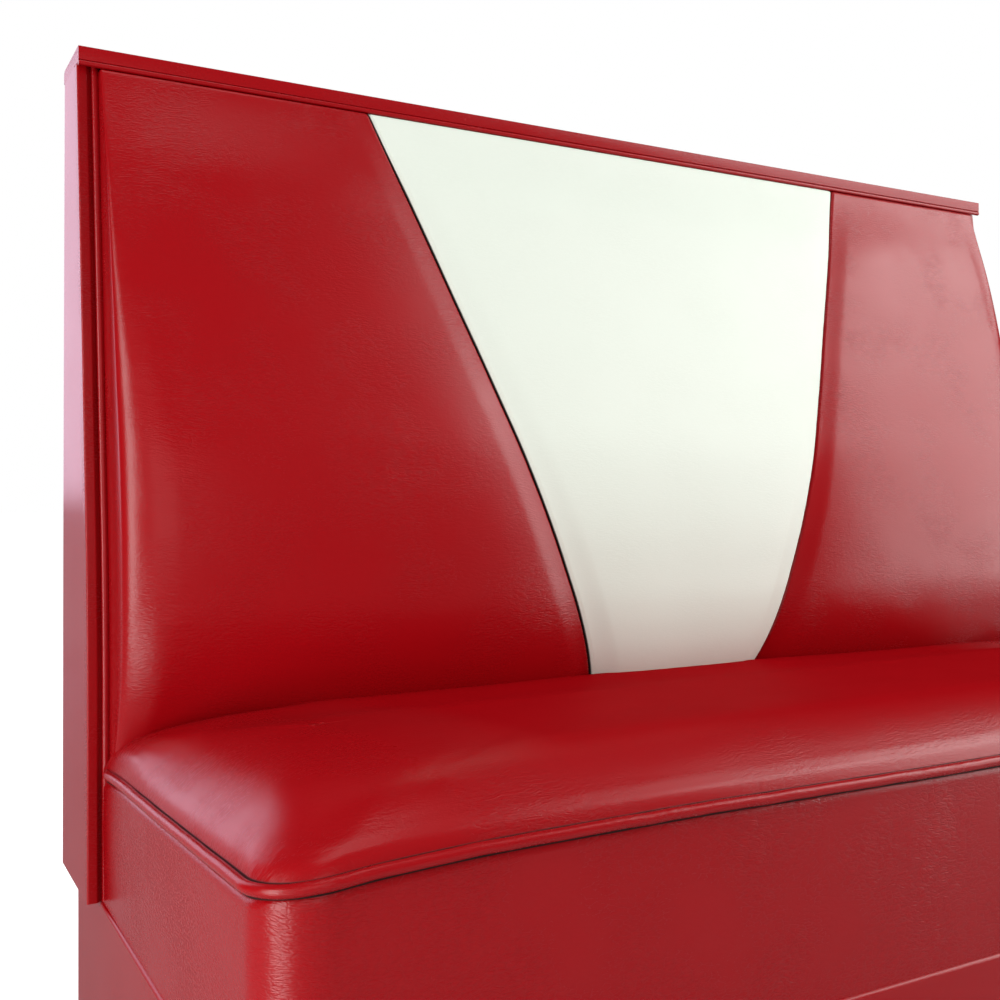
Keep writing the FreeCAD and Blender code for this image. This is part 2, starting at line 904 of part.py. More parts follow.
# The back's frame: two end panels, three rails and the outside board
def front_edges(x, shift, low, high):
    """The front line of a back end in its side view: upright, an arc at the knee, then leaning."""
    start = float(strip_front) + shift
    angle = math.atan(float(lean))
    radius = float(size("knee_radius"))
    reach = radius * math.tan(angle / 2)
    bend = float(knee)

    def on_arc(turn):
        y = start + radius * (1 - math.cos(turn))
        return Vector(x, y, bend - reach + radius * math.sin(turn))

    last = Vector(x, start + float(lean) * (high - bend), high)
    return [
        line(Vector(x, start, low), on_arc(0)),
        arc(on_arc(0), on_arc(angle / 2), on_arc(angle)),
        line(on_arc(angle), last),
    ]


def back_prism(first_x, last_x, front_shift, rear_offset, low, high, bulge=0.0):
    """The back's side view drawn from first_x to last_x; the rear is an arc when it bulges."""
    front = front_edges(first_x, front_shift, low, high)

    def rear(height, out=0.0):
        return Vector(first_x, float(rear_of_back(term(height))) + rear_offset + out, height)

    if bulge:
        rear_edge = arc(rear(low), rear((low + high) / 2, bulge), rear(high))
    else:
        rear_edge = line(rear(low), rear(high))
    wire = Part.Wire(front + [
        line(front[-1].Vertexes[-1].Point, rear(high)),
        rear_edge,
        line(rear(low), front[0].Vertexes[0].Point),
    ])
    return Part.Face(wire).extrude(Vector(last_x - first_x, 0, 0))


def round_rear(prism, radius, outer_xs):
    """Round the long rear corners of a prism that stand at the outer places along X."""
    reach = float(cap_bottom - base_top) / 2
    middle = float(rear_of_back((base_top + cap_bottom) / 2)) - float(size("clearance"))
    corners = [
        edge for edge in prism.Edges
        if edge.BoundBox.ZLength > reach and edge.CenterOfMass.y > middle
        and min(abs(edge.CenterOfMass.x - x) for x in outer_xs) < float(size("clearance"))
    ]
    return prism.makeFillet(radius, corners)


# Their front line is shared with the strips and the outside cover
behind_strip = size("strip_depth") + size("clearance")
for side, name in ((-1, "left"), (1, "right")):
    outer_x = side * float(half_width - size("end_cover"))
    panel = back_prism(
        outer_x, side * float(end_inner), float(behind_strip), 0.0, float(base_top), float(cap_bottom)
    )
    soft(f"back_end_{name}", round_rear(panel, float(size("rear_corner") - size("end_cover")), [outer_x]))

rails = {
    "back_rail_bottom": base_top,
    "back_rail_middle": size("middle_rail_height"),
    "back_rail_top": cap_bottom - size("back_rail"),
}
for name, low in rails.items():
    high = low + size("back_rail")
    keep(slab_along_x(name, [
        (pad_rear(low) + size("pad_board"), low),
        (rear_of_back(low) - size("outside_board"), low),
        (rear_of_back(high) - size("outside_board"), high),
        (pad_rear(high) + size("pad_board"), high),
    ], -end_inner, end_inner), name)
keep(slab_along_x("outside_back_board", [
    (rear_of_back(base_top) - size("outside_board"), base_top),
    (rear_of_back(base_top), base_top),
    (rear_of_back(cap_bottom), cap_bottom),
    (rear_of_back(cap_bottom) - size("outside_board"), cap_bottom),
], -end_inner, end_inner), "outside_back_board")


def outside_cover():
    """The vinyl over the outside of the back: both ends and the rear, its rear corners rounded."""
    skin = float(size("end_cover"))
    low = float(base_top)
    high = float(cap_bottom)
    radius = float(size("rear_corner"))
    shift = float(behind_strip)
    half = float(half_width)
    outer = back_prism(-half, half, shift, skin, low, high, float(size("rear_bulge")))
    inner = back_prism(skin - half, half - skin, -beyond, 0.0, low - beyond, high + beyond)
    outer = round_rear(outer, radius, [-half, half])
    inner = round_rear(inner, radius - skin, [skin - half, half - skin])
    return outer.cut(inner)


soft("outside_back_cover", outside_cover())


# How deep the middle of the groove's side is, as a share of the groove
GROOVE_BOW_SHARE = 0.7


def end_strip(side):
    """A wrapped strip, swept up the front line: a flat, a shallow groove, a bead along the inner edge."""
    low = float(base_top)
    outer = float(half_width)
    width = float(size("strip_width"))
    edge = float(size("strip_edge"))
    flat = float(size("strip_flat"))
    groove = float(size("strip_groove"))
    bead = float(size("strip_bead"))
    depth = float(size("strip_depth"))
    front = float(strip_front)

    def point(inward, back):
        return Vector(side * (outer - inward), front + back, low)

    corner = edge * (1 - math.sqrt(0.5))
    bead_start = width - bead
    section = Part.Wire([
        line(point(0, depth), point(0, edge)),
        arc(point(0, edge), point(corner, corner), point(edge, 0)),
        line(point(edge, 0), point(flat, 0)),
        arc(point(flat, 0), point((flat + bead_start) / 2, groove * GROOVE_BOW_SHARE),
            point(bead_start, groove)),
        arc(point(bead_start, groove), point(width - bead / 2, 0), point(width, groove)),
        line(point(width, groove), point(width, depth)),
        line(point(width, depth), point(0, depth)),
    ])
    path = Part.Wire(front_edges(side * outer, 0, low, float(cap_bottom)))
    swept = path.makePipeShell([section], True, False)
    above = Part.makeBox(
        2 * width, float(size("overall_depth")), float(top - strip_top),
        Vector(side * outer - width, 0, float(strip_top)),
    )
    return swept.cut(above)


soft("end_strip_left", end_strip(-1))
soft("end_strip_right", end_strip(1))

# The cap across the top
cap_rear = rear_of_back(cap_bottom) - size("cap_rear_inset")
cap_wrap = size("cap_wrap")
cap_board = slab_along_x("cap_board", [
    (cap_front + cap_wrap, cap_bottom),
    (cap_rear - cap_wrap, cap_bottom),
    (cap_rear - cap_wrap, top - cap_wrap),
    (cap_front + cap_wrap, top - cap_wrap),
], -half_width + cap_wrap, half_width - cap_wrap)
keep(rounded(cap_board, "rear", size("cap_rear_edge") - cap_wrap, lambda centre: (
    abs(centre.z - float(top - cap_wrap)) < float(size("clearance"))
    and abs(centre.y - float(cap_rear - cap_wrap)) < float(size("clearance"))
)), "cap_board")


def cap_cover():
    """The vinyl over the cap board, open below, its rear edge softer than the front one."""
    half = float(half_width)
    wrap = float(cap_wrap)
    front = float(cap_front)
    depth = float(cap_rear - cap_front)
    low = float(cap_bottom)
    height = float(size("cap_height"))
    outer = Part.makeBox(2 * half, depth, height, Vector(-half, front, low))
    rear = [
        edge for edge in outer.Edges
        if edge.BoundBox.XLength > half and edge.BoundBox.YMin > front + wrap
        and edge.BoundBox.ZMin > low + wrap
    ]
    outer = outer.makeFillet(float(size("cap_rear_edge")), rear)
    rest = [
        edge for edge in outer.Edges
        if edge.BoundBox.ZMin > low + height - wrap and edge.BoundBox.XMin < half
        and (edge.BoundBox.YMax < front + wrap or edge.BoundBox.XLength < wrap)
    ]
    outer = outer.makeFillet(float(size("cap_edge")), rest)
    inner_rear = float(size("cap_rear_edge")) - wrap
    inner = Part.makeBox(
        2 * (half - wrap), depth - 2 * wrap, height - wrap + beyond,
        Vector(wrap - half, front + wrap, low - beyond),
    )
    top_rear = [
        edge for edge in inner.Edges
        if edge.BoundBox.XLength > half and edge.BoundBox.YMin > front + 2 * wrap
        and edge.BoundBox.ZMin > low + wrap
    ]
    return outer.cut(inner.makeFillet(inner_rear, top_rear))


soft("cap_cover", cap_cover())


def cap_bead():
    """The bead under the cap's front edge, with the flange that holds it between the end panels."""
    radius = float(size("cap_bead")) / 2
    half = float(half_width)
    inside = float(end_inner) - float(size("clearance"))
    flange = float(size("cap_flange"))
    centre_y = float(cap_front) + radius
    high = float(cap_bottom)
    start = Vector(-half, centre_y, high - radius)
    bead = Part.makeCylinder(radius, 2 * half, start, Vector(1, 0, 0))
    strip = Part.makeBox(
        2 * inside, float(size("cap_flange_depth")), flange, Vector(-inside, centre_y, high - flange)
    )
    return bead.fuse(strip).removeSplitter()


soft("cap_bead", cap_bead())

# The three pads of the back, each a board, foam and a cover
outer_edge = float(pad_half)
seam = float(size("seam_gap")) / 2


def vee(height):
    """Half the centre pad's width at a height, as a number."""
    return float(vee_half(term(height)))


PADS = {
    "left": (lambda z: -outer_edge, lambda z: -vee(z) - seam, STRIP_EDGE_SHARES, SEAM_EDGE_SHARES),
    "centre": (lambda z: -vee(z) + seam, lambda z: vee(z) - seam, SEAM_EDGE_SHARES, SEAM_EDGE_SHARES),
    "right": (lambda z: vee(z) + seam, lambda z: outer_edge, SEAM_EDGE_SHARES, STRIP_EDGE_SHARES),
}
for name, (left_at, right_at, left_shares, right_shares) in PADS.items():
    thick = float(size("pad_cover"))
    edges = (left_at, right_at, left_shares, right_shares)
    outer = pad_form(*edges)
    room = pad_form(*edges, thick, beyond)
    soft(f"pad_cover_{name}", outer.cut(room))
    soft(f"pad_foam_{name}", pad_form(*edges, thick + float(size("clearance"))))
    low = float(base_top)
    high = float(pad_top)
    corners = [(left_at, low), (right_at, low), (right_at, high), (left_at, high)]
    face = face_of([(at(z), float(pad_rear(term(z))), z) for at, z in corners])
    soft(f"pad_board_{name}", face.extrude(Vector(0, float(size("pad_board")), 0)))

# Brackets between the base and the back, and the screws of the back
HOLE_SHARE = 0.6


def angle(label, x, y, z, leg, steel, width):
    """A steel angle with its outer corner at y, z: one leg lies level to the front, one hangs down."""
    body, sketch = body_on(label, "YZ_Plane")
    outline(sketch, [
        (y, z),
        (y - leg, z),
        (y - leg, z - steel),
        (y - steel, z - steel),
        (y - steel, z - leg),
        (y, z - leg),
    ])
    padded(body, sketch, width, True)
    return place(body, x=x)


def drilled(label, solid, x, y, z, leg, steel):
    """The angle with a screw hole through each leg."""
    reach = size("overrun")
    hole = joined(f"{label}_holes", [
        rod(f"{label}_hole_up", size("screw") / 2, steel + 2 * reach,
            x, y - leg * HOLE_SHARE, z - steel - reach),
        level_rod(f"{label}_hole_level", size("screw") / 2, steel + 2 * reach,
                  x, y - steel - reach, z - leg * HOLE_SHARE),
    ])
    return less(f"{label}_drilled", solid, hole)


def screw_up(label, x, y, z, bite):
    """A screw whose head is under z and whose shank goes up."""
    return joined(label, [
        rod(f"{label}_head", size("screw_head") / 2, size("screw_head_height"),
            x, y, z - size("screw_head_height")),
        rod(f"{label}_shank", size("screw") / 2, bite, x, y, z),
    ])


def screw_back(label, x, y, z, bite):
    """A level screw whose head is in front of y and whose shank goes to the rear."""
    head = size("screw_head_height")
    return joined(label, [
        level_rod(f"{label}_head", size("screw_head") / 2, head, x, y - head, z),
        level_rod(f"{label}_shank", size("screw") / 2, bite, x, y, z),
    ])


leg = size("bracket_leg")
steel = size("bracket_steel")
bite = steel + size("screw_bite")
bracket_y = base_rear - size("base_board")
# Across the booth, as shares of half its width: the brackets, and the screws of each pad's board
BRACKET_SHARES = (-0.5, 0.5)
PAD_SCREW_SHARES = (-0.8, -0.45, -0.03, 0.03, 0.45, 0.8)
brackets = []
bracket_screws = []
for number, share in enumerate(BRACKET_SHARES, start=1):
    x = share * panel_half
    label = f"bracket_{number}"
    solid = angle(label, x, bracket_y, base_top, leg, steel, size("bracket_width"))
    brackets.append(drilled(label, solid, x, bracket_y, base_top, leg, steel))
    bracket_screws.append(screw_up(
        f"bracket_screw_up_{number}", x, bracket_y - leg * HOLE_SHARE, base_top - steel, bite
    ))
    bracket_screws.append(screw_back(
        f"bracket_screw_back_{number}", x, bracket_y - steel, base_top - leg * HOLE_SHARE, bite
    ))
keep(grouped("back_brackets", brackets), "back_brackets")
keep(grouped("bracket_screws", bracket_screws), "bracket_screws")

# Each pad's board is screwed to the bottom rail, below the seat's top
screw_height = base_top + size("back_rail") / 2
keep(grouped("pad_screws", [
    screw_back(
        f"pad_screw_{number}", share * half_width, pad_rear(screw_height), screw_height,
        size("pad_board") + size("screw_bite"),
    )
    for number, share in enumerate(PAD_SCREW_SHARES, start=1)
]), "pad_screws")

# Every sub-part is checked before anything is written
doc.recompute()
for item in doc.Objects:
    if "Invalid" in item.State or "Error" in item.State:
        raise RuntimeError(f"{item.Label} could not be built: {item.State}")
for piece in pieces:
    if piece.Shape.isNull() or not piece.Shape.isValid():
        raise RuntimeError(f"{piece.Label} has no sound shape")
os.makedirs("parts", exist_ok=True)
for piece in pieces:
    piece.Shape.exportStep(os.path.join("parts", f"{piece.Label}.step"))
    print(f"{piece.Label}: {len(piece.Shape.Solids)} solids, {piece.Shape.Volume / 1000:.1f} cm3")
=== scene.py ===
# %% [markdown]
# # A restaurant booth with a V back
#
# This notebook dresses a booth bench: a frame of plywood that is already built, and over it red and cream
# vinyl. Everything that is upholstered is made here as a surface: the three pads of the back, the seat's
# pillow, its boxing and piping, the strips down the ends, the outside of the back, the cap and the base's
# cover. The frame is loaded first, because each cover takes its place from the board that carries it.

# %% The frame and the tools
import json
import math

import bmesh
import bpy
import numpy as np
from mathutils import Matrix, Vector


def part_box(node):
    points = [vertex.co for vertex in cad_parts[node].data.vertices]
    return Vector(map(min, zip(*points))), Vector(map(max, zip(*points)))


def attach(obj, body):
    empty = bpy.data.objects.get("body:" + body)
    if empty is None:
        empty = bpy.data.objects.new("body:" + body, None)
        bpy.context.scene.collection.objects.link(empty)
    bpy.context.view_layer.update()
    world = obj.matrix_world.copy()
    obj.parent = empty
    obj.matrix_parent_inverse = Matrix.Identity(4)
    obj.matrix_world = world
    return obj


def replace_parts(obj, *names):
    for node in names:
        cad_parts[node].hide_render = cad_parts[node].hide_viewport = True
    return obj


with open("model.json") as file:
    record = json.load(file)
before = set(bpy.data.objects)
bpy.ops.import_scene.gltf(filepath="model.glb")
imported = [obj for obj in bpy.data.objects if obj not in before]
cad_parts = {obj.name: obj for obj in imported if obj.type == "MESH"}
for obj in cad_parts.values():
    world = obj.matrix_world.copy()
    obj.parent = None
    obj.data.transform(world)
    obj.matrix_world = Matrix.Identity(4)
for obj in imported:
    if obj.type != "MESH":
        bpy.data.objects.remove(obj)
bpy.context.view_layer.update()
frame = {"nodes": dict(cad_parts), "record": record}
NODES = frame["nodes"]
MM = 0.001

# %% [markdown]
# ## Surfaces from numbers
#
# A cover could be pulled and pushed by hand, but a booth's covers follow a few plain rules: a section carried
# along a line, or a ring that shrinks as it climbs. So each one is a grid of points, worked out with numpy as
# whole arrays. One helper turns such a grid into a mesh. It also gives the mesh its own UV map in metres, so
# that the grain has its real size everywhere, and attributes that say where the vinyl is pulled or runs into a
# seam.


# %% From a grid of points to a mesh
SHARP = math.radians(38)  # an edge that turns by more than this keeps its crease


def skin(name, points, uv, closed=False, ends="open", **marks):
    """Join each point of a rows x columns grid to its neighbours with four-sided faces.

    A closed grid also joins its last column to its first, and so does its UV map, unless the map
    already has one column more. The ends are left open, get one face each ("face"), or, on a thin
    wall whose section runs out and back, a row of faces between the two sides ("wall"). The signed
    volume, a sixth of the sum of a . (b x c) over the triangles, says whether the faces point
    inwards, and then they are turned round. Each mark, such as pull or seam, is a number from
    nought to one at every point, kept as an attribute of its name.
    """
    rows, columns = points.shape[:2]
    if closed and uv.shape[1] == columns:
        uv = np.concatenate([uv, uv[:, :1]], axis=1)
    index = np.arange(rows * columns).reshape(rows, columns)
    round_index = np.hstack([index, index[:, :1]]) if closed else index

    def corners(grid):
        return np.stack([grid[:-1, :-1], grid[:-1, 1:], grid[1:, 1:], grid[1:, :-1]], axis=2)

    faces = corners(round_index).reshape(-1, 4).tolist()
    places = [corners(uv).reshape(-1, 2)]
    if ends == "face":
        faces += [index[0, ::-1].tolist(), index[-1].tolist()]
        places += [uv[0, :columns][::-1], uv[-1, :columns]]
    if ends == "wall":
        near = np.arange(columns // 2 - 1)
        far = columns - 1 - near
        for row, order in ((0, [1, 0, 3, 2]), (-1, [0, 1, 2, 3])):
            loop = np.stack([near, near + 1, far - 1, far], axis=1)[:, order]
            faces += index[row][loop].tolist()
            places.append(uv[row][loop].reshape(-1, 2))
    mesh = bpy.data.meshes.new(name)
    mesh.from_pydata(points.reshape(-1, 3).tolist(), [], faces)
    layer = mesh.uv_layers.new(name="metres")
    layer.data.foreach_set("uv", np.concatenate(places).astype(np.float32).ravel())
    for mark, values in marks.items():
        attribute = mesh.attributes.new(mark, "FLOAT", "POINT")
        values = np.broadcast_to(values, (rows, columns))
        attribute.data.foreach_set("value", np.ascontiguousarray(values, np.float32).ravel())
    mesh.calc_loop_triangles()
    corner_index = np.empty(len(mesh.loop_triangles) * 3, np.int32)
    mesh.loop_triangles.foreach_get("vertices", corner_index)
    a, b, c = (points.reshape(-1, 3)[corner_index.reshape(-1, 3)[:, k]] for k in range(3))
    volume = float((a * np.cross(b, c)).sum() / 6)
    if volume < 0:
        mesh.flip_normals()
    mesh.polygons.foreach_set("use_smooth", np.ones(len(mesh.polygons), bool))
    mesh.set_sharp_from_angle(angle=SHARP)
    piece = bpy.data.objects.new(name, mesh)
    bpy.context.scene.collection.objects.link(piece)
    print(f"{name}: {len(mesh.vertices)} points, {abs(volume) * 1e6:.0f} cm3")
    return piece


# %% Small tools for profiles
def smooth(x):
    """Nought below 0, one above 1, and between them the curve 3x^2 - 2x^3."""
    x = np.clip(x, 0, 1)
    return x * x * (3 - 2 * x)


def through(table, x):
    """A smooth curve through a table of places and values: a cubic between each two places, whose slope
    at a place is the table's own gradient there."""
    places, values = table.T
    slope = np.gradient(values, places)
    k = np.clip(np.searchsorted(places, x) - 1, 0, len(places) - 2)
    width = places[k + 1] - places[k]
    t = np.clip((x - places[k]) / width, 0, 1)
    return (
        (1 + 2 * t) * (1 - t) ** 2 * values[k] + t * (1 - t) ** 2 * width * slope[k]
        + t * t * (3 - 2 * t) * values[k + 1] + t * t * (t - 1) * width * slope[k + 1]
    )


def run_length(points):
    """The distance walked along a line of points, or along each row of a grid."""
    step = np.linalg.norm(np.diff(points, axis=-2), axis=-1)
    return np.concatenate([np.zeros(step.shape[:-1] + (1,)), np.cumsum(step, axis=-1)], axis=-1)


def spaced(profile, count):
    """A polyline of corner points, walked at even steps of its length: count points."""
    profile = np.asarray(profile, float)
    reach = run_length(profile)
    steps = np.linspace(0, reach[-1], count)
    return np.stack([np.interp(steps, reach, profile[:, k]) for k in range(profile.shape[1])], axis=1)


def turn(centre, radius, start, end, count):
    """Points on a circle in a plane, from one angle in degrees to another."""
    angle = np.radians(np.linspace(start, end, count))
    return np.stack([centre[0] + radius * np.cos(angle), centre[1] + radius * np.sin(angle)], axis=1)


def ripple(u, v, waves, seed):
    """A gentle unevenness: a sum of sine waves of the given lengths, each in its own direction and phase."""
    chance = np.random.default_rng(seed)
    total = np.zeros(np.broadcast(u, v).shape)
    for length in waves:
        angle, phase = chance.uniform(0, math.pi), chance.uniform(0, 2 * math.pi)
        total += np.sin(2 * math.pi * (u * math.cos(angle) + v * math.sin(angle)) / length + phase)
    return total / len(waves)


# %% [markdown]
# ## The line of the back
#
# Seen from the side, the front of a booth's back stands upright beside the seat and then leans away. The bend
# is a large arc, so that the vinyl shows no crease there. The strips and the outside cover share this line.

# %% The front line and the rear line
STRIP_FRONT, KNEE, KNEE_RADIUS = 0.161, 0.565, 1.45
STRIP_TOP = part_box("end_strip_left")[1].z
LEAN = 0.053 / (STRIP_TOP - KNEE)  # the strips' tops lie 53 mm behind their knees
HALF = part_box("outside_back_cover")[1].x
BASE_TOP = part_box("outside_back_cover")[0].z
CAP_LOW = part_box("outside_back_cover")[1].z


def front_line(z):
    """Upright, then an arc that starts one tangent length, r tan(angle / 2), below the knee, then straight."""
    angle = math.atan(LEAN)
    start = KNEE - KNEE_RADIUS * math.tan(angle / 2)
    rise = np.clip(z - start, 0, KNEE_RADIUS * math.sin(angle))
    arc = KNEE_RADIUS - np.sqrt(KNEE_RADIUS ** 2 - rise ** 2)
    beyond = np.maximum(z - start - KNEE_RADIUS * math.sin(angle), 0)
    return STRIP_FRONT + arc + beyond * LEAN


def rear_line(z):
    """A straight line that leans forward by 13 mm in 770, with a bulge of 1.5 mm at the middle."""
    share = (z - BASE_TOP) / (CAP_LOW - BASE_TOP)
    return 0.305 - 0.013 * (z - BASE_TOP) / 0.770 + 0.0015 * 4 * share * (1 - share)


print("front at the knee and top", front_line(np.array([KNEE, STRIP_TOP])).round(4))

# %% [markdown]
# ## The back pads
#
# Each pad is a plywood board with foam glued on it and vinyl pulled over, stapled behind. The middle one is
# cream and V-shaped. The foam is thin at the top, swells to a bolster at the small of the back and turns under
# at the seat. A pillow could be inflated with a cloth simulation, but this foam is cut to a form and the vinyl
# lies tight on it, so the form is written down: a thickness over the board that follows the height, a tight
# roll at the seams where two pads meet, with a shoulder beside it, a softer roll beside the strips, and a crown
# in between.

# %% The form of a pad
PAD_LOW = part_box("pad_cover_centre")[0].z
PAD_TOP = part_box("pad_cover_centre")[1].z + 0.0012
PAD_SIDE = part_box("pad_cover_right")[1].x
BOARD_SLOPE = 0.0771
# height above the floor and how far the face stands in front of the board, both in metres
FACE = np.array([
    (0.412, 0.0295), (0.421, 0.0395), (0.430, 0.0483), (0.447, 0.0620), (0.466, 0.0747), (0.490, 0.0864),
    (0.515, 0.0943), (0.540, 0.0992), (0.580, 0.1027), (0.620, 0.1043), (0.660, 0.1030), (0.700, 0.0993),
    (0.750, 0.0904), (0.800, 0.0808), (0.850, 0.0703), (0.905, 0.0594), (0.950, 0.0500), (1.000, 0.0388),
    (1.0490, 0.0288),
])


def board_line(z):
    """The front of the pad boards: a straight leaning line."""
    return 0.1835 + BOARD_SLOPE * (z - PAD_LOW)


def vee_edge(z):
    """Half the width of the V at a height: a straight line from 92 mm at the seat to 325 mm at the top."""
    return 0.092 + (0.325 - 0.092) * (z - PAD_LOW) / (PAD_TOP - PAD_LOW)


def outer_edge(z):
    """Half the width between the strips, and a little more, because the outer pads press against them."""
    return PAD_SIDE * np.ones_like(z) + 0.0022


# %% A pad between two edges
SEAM_GAP, SEAM_ROLL, TOP_ROLL = 0.0004, 0.0042, 0.0038
# a soft side's roll is this wide and this deep, as shares of what the face stands in front of the strips
SOFT_WIDE, SOFT_DEEP = 0.6, 0.3
CROWN, CROWN_START = 0.0095, 0.030
SHOULDER, SHOULDER_WIDE = 0.0026, 0.028
UNEVEN, PUCKER = 0.0003, 0.00022


def pad(name, left, right, soft_left, soft_right, seed):
    """Rings stacked from the pad's foot to its top, each one a section of the pad at one height.

    A section starts at the board, goes straight forward up its left wall, turns over a quarter of an
    ellipse as wide as that side's roll, crosses the crowned face and comes back the same way. Where two
    pads are sewn together the roll is SEAM_ROLL. On a soft side it grows with what the face stands in front
    of the strips, and is less near the top. At the top, the last rings climb a quarter circle while they
    draw back, and one face closes them.
    The crown is CROWN x (1 - |2s - 1|^3.2) across the face, with s from nought to one. It sets in over
    CROWN_START from each edge, is 0.55 as high at the top and fades out over the last 100 mm. Beside a
    sewn edge the face climbs by SHOULDER x (1 - (1 - d / SHOULDER_WIDE)^2), with d the distance from the edge.
    Puckers stand where the vinyl turns over an edge, and only where a slow ripple gathers them.
    """
    climb = np.linspace(0, 1, 16)[1:] * math.pi / 2
    body = np.linspace(PAD_LOW, PAD_TOP - TOP_ROLL, 190)
    z = np.concatenate([body, PAD_TOP - TOP_ROLL + TOP_ROLL * np.sin(climb)])[:, None]
    back = np.concatenate([np.zeros(len(body)), TOP_ROLL * (1 - np.cos(climb))])[:, None]
    x0, x1 = left(z) + 0.1 * back, right(z) - 0.1 * back
    thick = through(FACE, z) - back
    wall = np.linspace(0, 1, 6)[None, :-1]
    quarter = np.radians(np.linspace(0, 90, 15))[None, :]
    face = np.linspace(0, 1, 112)[None, 1:-1]
    proud = (front_line(z) - board_line(z) + thick) * (0.30 + 0.70 * smooth((0.98 - z) / 0.25))
    roll0, roll1 = (SOFT_WIDE * proud if soft else SEAM_ROLL for soft in (soft_left, soft_right))
    deep0, deep1 = (SOFT_DEEP * proud if soft else 1.05 * SEAM_ROLL for soft in (soft_left, soft_right))
    x = np.hstack([
        x0 * np.ones_like(wall), x0 + roll0 * (1 - np.cos(quarter)),
        x0 + roll0 + (x1 - roll1 - x0 - roll0) * face,
        (x1 - roll1 * (1 - np.cos(quarter)))[:, ::-1], x1 * np.ones_like(wall),
    ])
    out = np.hstack([
        (thick - deep0) * wall, thick - deep0 * (1 - np.sin(quarter)), thick * np.ones_like(face),
        (thick - deep1 * (1 - np.sin(quarter)))[:, ::-1], ((thick - deep1) * wall)[:, ::-1],
    ])
    across = (x - x0) / (x1 - x0)
    from_edge = np.minimum(across, 1 - across) * (x1 - x0)
    plump = (1 - np.abs(2 * across - 1) ** 3.2) * smooth(from_edge / CROWN_START)
    fall = smooth((PAD_TOP + 0.004 - z) / 0.10)
    level = 0.55 + 0.45 * smooth((0.95 - z) / 0.45)
    out = out + CROWN * plump * fall * level
    for distance, soft in ((x - x0, soft_left), (x1 - x, soft_right)):
        if not soft:
            out = out + SHOULDER * (1 - (1 - np.clip(distance / SHOULDER_WIDE, 0, 1)) ** 2) * fall
    uneven = ripple(x, z, (0.31, 0.23, 0.17, 0.125, 0.095), seed)
    out = out + UNEVEN * uneven * plump * fall
    edge = np.minimum((x - x0) / roll0, (x1 - x) / roll1)
    # painted shade: within about 0.7 mm of a sewn edge, from 1 cm above the foot, the colour is painted almost
    # black, as the gap between two pads would look in shade
    sewn = np.minimum(1 if soft_left else (x - x0) / SEAM_ROLL, 1 if soft_right else (x1 - x) / SEAM_ROLL)
    seam = (1 - smooth((sewn - 0.04) / 0.12)) * smooth((z - PAD_LOW) / 0.01)
    puckers = ripple(x * 0.25, z, (0.0135, 0.0105, 0.0172, 0.021), seed + 50)
    gathered = smooth((ripple(x * 0.5, z, (0.11, 0.07, 0.16), seed + 70) + 0.35) / 0.6)
    tension = smooth(edge / 0.35) * (1 - smooth((edge - 1.0) / 0.9))
    out = out + PUCKER * puckers * tension * gathered
    y = board_line(z) - 0.0004 - np.maximum(out, 0)
    points = np.stack([x, y, z * np.ones_like(x)], axis=2)
    along = run_length(points)
    middle = along[:, along.shape[1] // 2][:, None]
    up = run_length(points[:, 60])[:, None]
    u = along - middle + (x0 + x1) / 2
    uv = np.stack([u, up * np.ones_like(u)], axis=2)
    piece = skin(name, points, uv, closed=True, ends="face", pull=np.clip(tension, 0, 1), seam=seam)
    return piece


pads = {
    "left": pad("pad_left", lambda z: -outer_edge(z), lambda z: -vee_edge(z) - SEAM_GAP, True, False, 3),
    "centre": pad(
        "pad_centre", lambda z: SEAM_GAP - vee_edge(z), lambda z: vee_edge(z) - SEAM_GAP, False, False, 5,
    ),
    "right": pad("pad_right", lambda z: vee_edge(z) + SEAM_GAP, outer_edge, False, True, 8),
}
for side, piece in pads.items():
    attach(piece, "root")
    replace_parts(piece, f"pad_cover_{side}", f"pad_foam_{side}")

# %% [markdown]
# ## The outline of the seat
#
# The seat's welt runs round three sides of the cushion with a round corner at each front end. Every ring of the
# pillow, the boxing and the welt itself follow one outline, drawn in or let out by some distance. It is worked
# out once: straight runs and quarter turns, with the same number of points in each, so that rings join point to
# point.

# %% One outline for all the seat's rings
SEAT_HALF, SEAT_FRONT, SEAT_REAR, SEAT_CORNER = 0.595, -0.299, 0.1605, 0.038


def outline(inset, growth, front, side, corner):
    """A rounded rectangle as an open run: up the left side, across the front and back up the right side.

    The front corners have radius SEAT_CORNER + growth x inset. When growth isn't nought, the run goes on
    across the rear, whose corners have radius 1.5 growth x inset. No radius passes half the depth. Insets
    go down the rows, points along the run go across; front, side and corner are their numbers.
    """
    inset = np.atleast_1d(np.asarray(inset, float))[:, None]
    half, front_y, rear_y = SEAT_HALF - inset, SEAT_FRONT + inset, SEAT_REAR - inset
    deep = (rear_y - front_y) / 2
    radius = np.minimum(SEAT_CORNER + growth * inset, deep - 1e-5)
    rear_radius = np.minimum(growth * 1.5 * inset, deep - 1e-5)
    quarter = np.radians(np.linspace(0, 90, corner))[None, :]
    share = np.linspace(0, 1, side)[None, 1:-1]
    across = np.linspace(-1, 1, front)[None, 1:-1]
    side_y = (rear_y - rear_radius) + (front_y + radius - rear_y + rear_radius) * share
    left_x = np.hstack([-half * np.ones_like(side_y), -half + radius * (1 - np.cos(quarter))])
    left_y = np.hstack([side_y, front_y + radius * (1 - np.sin(quarter))])
    x = np.hstack([left_x, (half - radius) * across, -left_x[:, ::-1]])
    y = np.hstack([left_y, front_y * np.ones_like(across), left_y[:, ::-1]])
    if growth:
        rear_x = half - rear_radius * (1 - np.cos(quarter))
        rear_turn = rear_y - rear_radius * (1 - np.sin(quarter))
        straight = (half - rear_radius) * -across
        x = np.hstack([x, rear_x, straight, -rear_x[:, ::-1]])
        y = np.hstack([y, rear_turn, rear_y * np.ones_like(straight), rear_turn[:, ::-1]])
    return x, y


